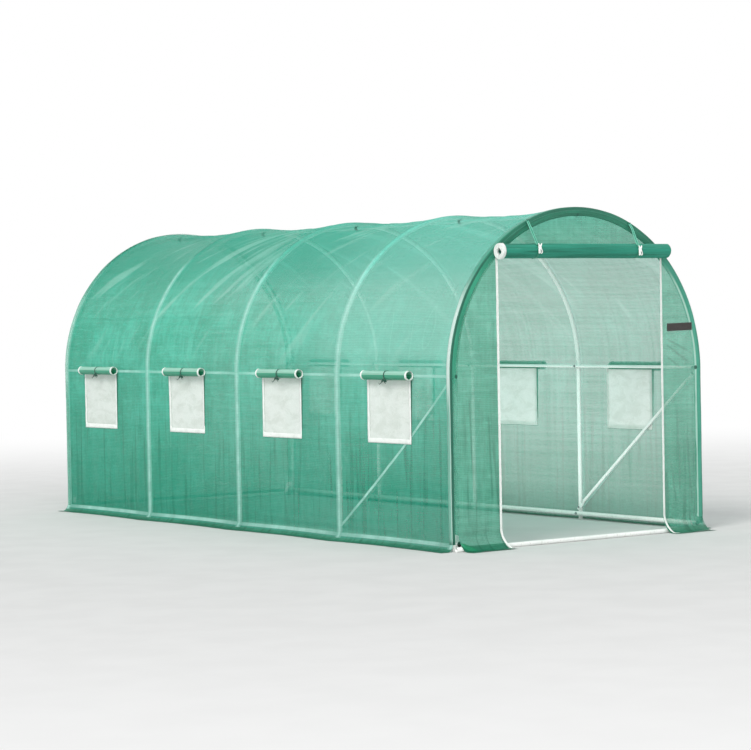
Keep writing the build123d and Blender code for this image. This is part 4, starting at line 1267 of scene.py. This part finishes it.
def windows(side, sign):
    """The four windows of a side: screens, borders, rolled flaps and their ties."""
    screens, borders, rolls, rings, ties, edge_shade_strips = (Batch() for _ in range(6))
    for index, (yc, rx) in enumerate(zip(WIN_Y, WROLL_X)):
        seed = index + (0 if sign < 0 else 10)
        skew = 0.004 * math.sin(seed * 2.1 + 0.5)
        screens.add(*window_screen(yc, sign, skew, seed))
        # Borders: narrow tapes down both sides and a deeper one along the bottom.
        high = WIN_HIGH + 0.003
        for left, right, low, top, lift in (
            (yc - WIN_HALF - 0.004, yc - WIN_HALF + 0.016, WIN_LOW - 0.006, high, 0.0030),
            (yc + WIN_HALF - 0.014, yc + WIN_HALF + 0.005, WIN_LOW - 0.006, high, 0.0030),
            (yc - WIN_HALF - 0.002, yc + WIN_HALF + 0.003, WIN_LOW - 0.008, WIN_LOW + 0.022, 0.0040),
        ):
            borders.add(*window_strip(left, right, low, top, lift, sign, skew, seed))
        # Roll: a few turns of film round a hollow middle, set a little to the front of the screen.
        yr = yc + WROLL_SHIFT
        angle, radius, arc = spiral(WROLL_R, 0.0031, 2.4, 34)
        xs = np.linspace(-WROLL_LEN / 2 + 0.012, WROLL_LEN / 2 - 0.012, 40)
        X, A = np.meshgrid(xs, angle, indexing="ij")
        Rr = np.broadcast_to(radius, X.shape).copy()
        depth = (WROLL_R - Rr) / WROLL_R
        Rr -= (1 - depth) * 0.0008 * (1 + soft_noise(X * 7, A * 0.8 + seed, 80 + seed))
        fold = np.clip(1 - np.abs(soft_noise(X * 3, A * 1.1, 84 + seed)) / 0.2, 0, 1)
        Rr -= (1 - depth) * 0.0010 * fold
        Rr -= (1 - depth) * 0.0030 * np.exp(-((X / 0.014) ** 2))
        begin = math.radians(100)
        bend = -0.0014 * np.cos(X / WROLL_LEN * math.pi) + 0.0007
        place = (sign * (rx - Rr * np.cos(begin + A)), yr + X, WROLL_Z + bend + Rr * np.sin(begin + A))
        uv = np.stack(np.broadcast_arrays(X, arc), -1).reshape(-1, 2)
        rolls.add(np.stack(place, -1).reshape(-1, 3), grid(*X.shape), uv)
        # The flap's white edges make a ring at each end of the roll.
        count = int(1.6 * 34) + 1
        for end in (-1, 1):
            points, uv = [], []
            for a, middle, along in zip(angle[:count], radius - 0.0006, arc):
                for across, up in FLAP_RING:
                    r = middle + up * 0.0022
                    y = yr + end * (WROLL_LEN / 2 - 0.007) + across * 0.014
                    x = sign * (rx - r * math.cos(begin + a))
                    points.append((x, y, WROLL_Z + r * math.sin(begin + a)))
                    uv.append((along, across * 0.014))
            rings.add(points, closed(count, len(FLAP_RING)), uv)
        # A tie round the middle, knotted underneath, with a curled tail.
        turn = np.linspace(math.radians(92), math.radians(92 + 352), 44)
        r = WROLL_R - 0.0006
        yt = yr - 0.008
        y = yt + 0.003 * np.sin(turn * 1.3 + seed)
        loop = np.stack([sign * (rx - r * np.cos(turn)), y, WROLL_Z + r * np.sin(turn)], -1)
        ties.add(*ribbon(loop, (0, 1, 0), 0.0075, 0.0014))
        outer = rx + 0.024

        def below(count, *places):
            """A curve through places given outwards, rearwards and upwards from the roll's outer side."""
            places = [(sign * (outer + dx), yt + dy, WROLL_Z + dz) for dx, dy, dz in places]
            return curve_through(places, count)

        knot = [(-0.002, -0.021, -0.037), (0.003, -0.007, -0.028), (0.003, 0.008, -0.028)]
        knot = below(18, *knot, (-0.001, 0.023, -0.038))
        thick = np.interp(np.linspace(0, 1, len(knot)), [0, 0.4, 0.6, 1], [0.0045, 0.0078, 0.0078, 0.0045])
        ties.add(*tube(knot, thick, 12))
        tail = [(0, 0.004, -0.031), (0.003, 0.020, -0.039), (0.001, 0.036, -0.048), (-0.003, 0.052, -0.052)]
        tail = below(24, *tail, (-0.005, 0.062, -0.046))
        ties.add(*ribbon(tail, (0.2 * sign, 0.3, 1), 0.0042, 0.0012))
        tail = below(14, (0, -0.001, -0.032), (0.002, -0.008, -0.040), (-0.002, -0.013, -0.048))
        ties.add(*ribbon(tail, (0, 1, 0.2), 0.007, 0.0012))
        # A narrow dark strip beside the front border: painted shade cast by the border's lifted edge.
        t = np.linspace(0, 1, 24)
        x = sign * (float(wall_x(yc - WIN_HALF - 0.014)) + 0.0032)
        line = np.stack([x + 0 * t, yc - WIN_HALF - 0.013 + 0.005 * t, WIN_HIGH + 0.004 - t * 0.335], -1)
        edge_shade_strips.add(*ribbon(line, (0, 1, 0), np.linspace(0.013, 0.004, 24), 0.0014))
    piece = screens.piece(f"{side}_window_mesh", SCREEN)
    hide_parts(f"{side}_window_screens")
    piece = borders.piece(f"{side}_window_tape", WHITE)
    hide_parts(f"{side}_window_borders")
    piece = rolls.piece(f"{side}_window_flap", FLAP)
    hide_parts(f"{side}_window_rolls")
    piece = rings.piece(f"{side}_window_flap_edge", WHITE)
    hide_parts(f"{side}_window_rolls")
    piece = ties.piece(f"{side}_window_tie", KNOT)
    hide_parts(f"{side}_window_ties")
    piece = edge_shade_strips.piece(f"{side}_window_edge_shade", TIE)


for side, sign in SIDES:
    windows(side, sign)


# ---------------------------------------------------------------- bolts
def bolts():
    """A domed nut and washer on the inner side of each crossing, true to scale."""
    b = Batch()

    def nut(at, out, size=0.0058, tall=0.0050):
        out, at = np.asarray(out, float), np.asarray(at, float)
        s = unit(np.cross(out, [0, 1, 0]))
        t = np.cross(out, s)

        def stack(levels, sides):
            turn = np.linspace(0, 2 * math.pi, sides, endpoint=False)
            spokes = [math.cos(k) * s + math.sin(k) * t for k in turn]
            points = [at + out * z + r * spoke for r, z in levels for spoke in spokes]
            b.add(points, closed(len(levels), sides))

        stack([(size * 1.5, 0.0), (size * 1.55, 0.0004), (size * 1.5, 0.0010)], 24)
        wide = size * 1.12
        stack([(size * 1.06, 0.0010), (wide, 0.0018), (wide, tall - 0.0006), (size * 1.02, tall)], 6)
        dome = [(size * math.cos(k), tall + size * 0.8 * math.sin(k)) for k in np.linspace(0, 1.35, 6)]
        stack([(size * 0.95, tall - 0.001), *dome], 18)

    for y in HOOPS:
        for sign in (-1, 1):
            nut((sign * (RAIL_X - RAIL_R), y, RAIL_Z), (-sign, 0, 0))
            nut((sign * (GROUND_X - TUBE), y, GROUND_Z), (-sign, 0, 0))
        nut((0, y, RIDGE_Z - RAIL_R), (0, 0, -1))
    for sign in (-1, 1):
        for y, z in ((-HALF + 0.010, 0.986 - 0.008), (-HALF + BAY - 0.010, 0.0753 + 0.008)):
            nut((sign * (RAIL_X - 0.0035), y, z), (-sign, 0, 0), 0.0048, 0.0040)
    b.piece("frame_bolts", BOLT, shade=False)


bolts()


def end_caps():
    """Dark caps in the open ends of the rails, and dark clips where the ridge rail meets a crown."""
    b = Batch()
    ends = [(0, RIDGE_Z, RAIL_R)]
    for sign in (-1, 1):
        ends += [(sign * RAIL_X, RAIL_Z, RAIL_R), (sign * GROUND_X, GROUND_Z, TUBE)]
    for x, z, radius in ends:
        r = np.array([radius - 0.0016, radius - 0.0016, radius + 0.0012, radius + 0.0014, radius * 0.8])
        for end in (-1, 1):
            ys = end * np.array([2.2380, 2.2499, 2.2500, 2.2506, 2.2509])
            b.add(*tube([(x, y, z) for y in ys], r, 20))
    # The clips' dark tone is partly painted shade, where each crown shades the ridge rail.
    for y in HOOPS:
        clip = [(0, y + k, RIDGE_Z) for k in (-0.013, -0.012, 0.012, 0.013)]
        b.add(*tube(clip, [0.0106, 0.0124, 0.0124, 0.0106], 20))
    b.piece("rail_end_caps", CAP)


end_caps()


# ---------------------------------------------------------------- stage and light
def stage():
    s = Shade("floor")
    place = s.object_place()
    x, y, _ = s.split(place)
    reach = (x.op("POWER", 2.0) + y.op("POWER", 2.0)).op("SQRT")
    grain = s.noise(place, 3.0, 3.0).ramp(0.3, 0.7)
    tone = s.blend(grain, (0.66, 0.66, 0.65, 1), (0.63, 0.63, 0.62, 1))
    ground = s.principled(tone, 0.9, Specular_IOR_Level=0.1)
    white = s.node("ShaderNodeEmission", Color=(1, 1, 1, 1), Strength=1.0)
    material = s.done(s.mix(reach.ramp(3.0, 13.0) * s.seen(), ground, white))
    mesh = bpy.data.meshes.new("floor")
    mesh.from_pydata([(-80, -80, 0), (80, -80, 0), (80, 80, 0), (-80, 80, 0)], [], [(0, 1, 2, 3)])
    mesh.materials.append(material)
    floor = bpy.data.objects.new("floor", mesh)
    bpy.context.scene.collection.objects.link(floor)

    s = Shade("studio", world=True)
    light = s.node("ShaderNodeBackground", Color=(0.96, 0.98, 1.0, 1), Strength=0.74)
    shown = s.node("ShaderNodeBackground", Color=(1, 1, 1, 1), Strength=1.0)
    bpy.context.scene.world = s.done(s.mix(s.seen(), light, shown))

    def lamp(name, kind, energy, **settings):
        data = bpy.data.lights.new(name, kind)
        data.energy = energy
        for key, value in settings.items():
            setattr(data, key, value)
        made = bpy.data.objects.new(name, data)
        bpy.context.scene.collection.objects.link(made)
        return made

    for name, strength, angle, direction, colour in (
        ("key", 1.7, 26, (0.80, 0.30, -0.72), (1.0, 0.99, 0.97)),
        ("front", 0.9, 40, (0.45, 0.85, -0.30), (1, 1, 1)),
    ):
        sun = lamp(name, "SUN", strength, angle=math.radians(angle), color=colour)
        sun.rotation_mode = "QUATERNION"
        sun.rotation_quaternion = Vector(direction).to_track_quat("-Z", "Y")
    inside = lamp("inside", "AREA", 26, shape="RECTANGLE", size=1.5, size_y=4.1)
    inside.location = (0, 0, 0.03)
    inside.rotation_euler = (math.pi, 0, 0)
    inside.visible_camera = inside.visible_glossy = inside.visible_transmission = False


stage()
bpy.context.scene.view_settings.view_transform = "Standard"
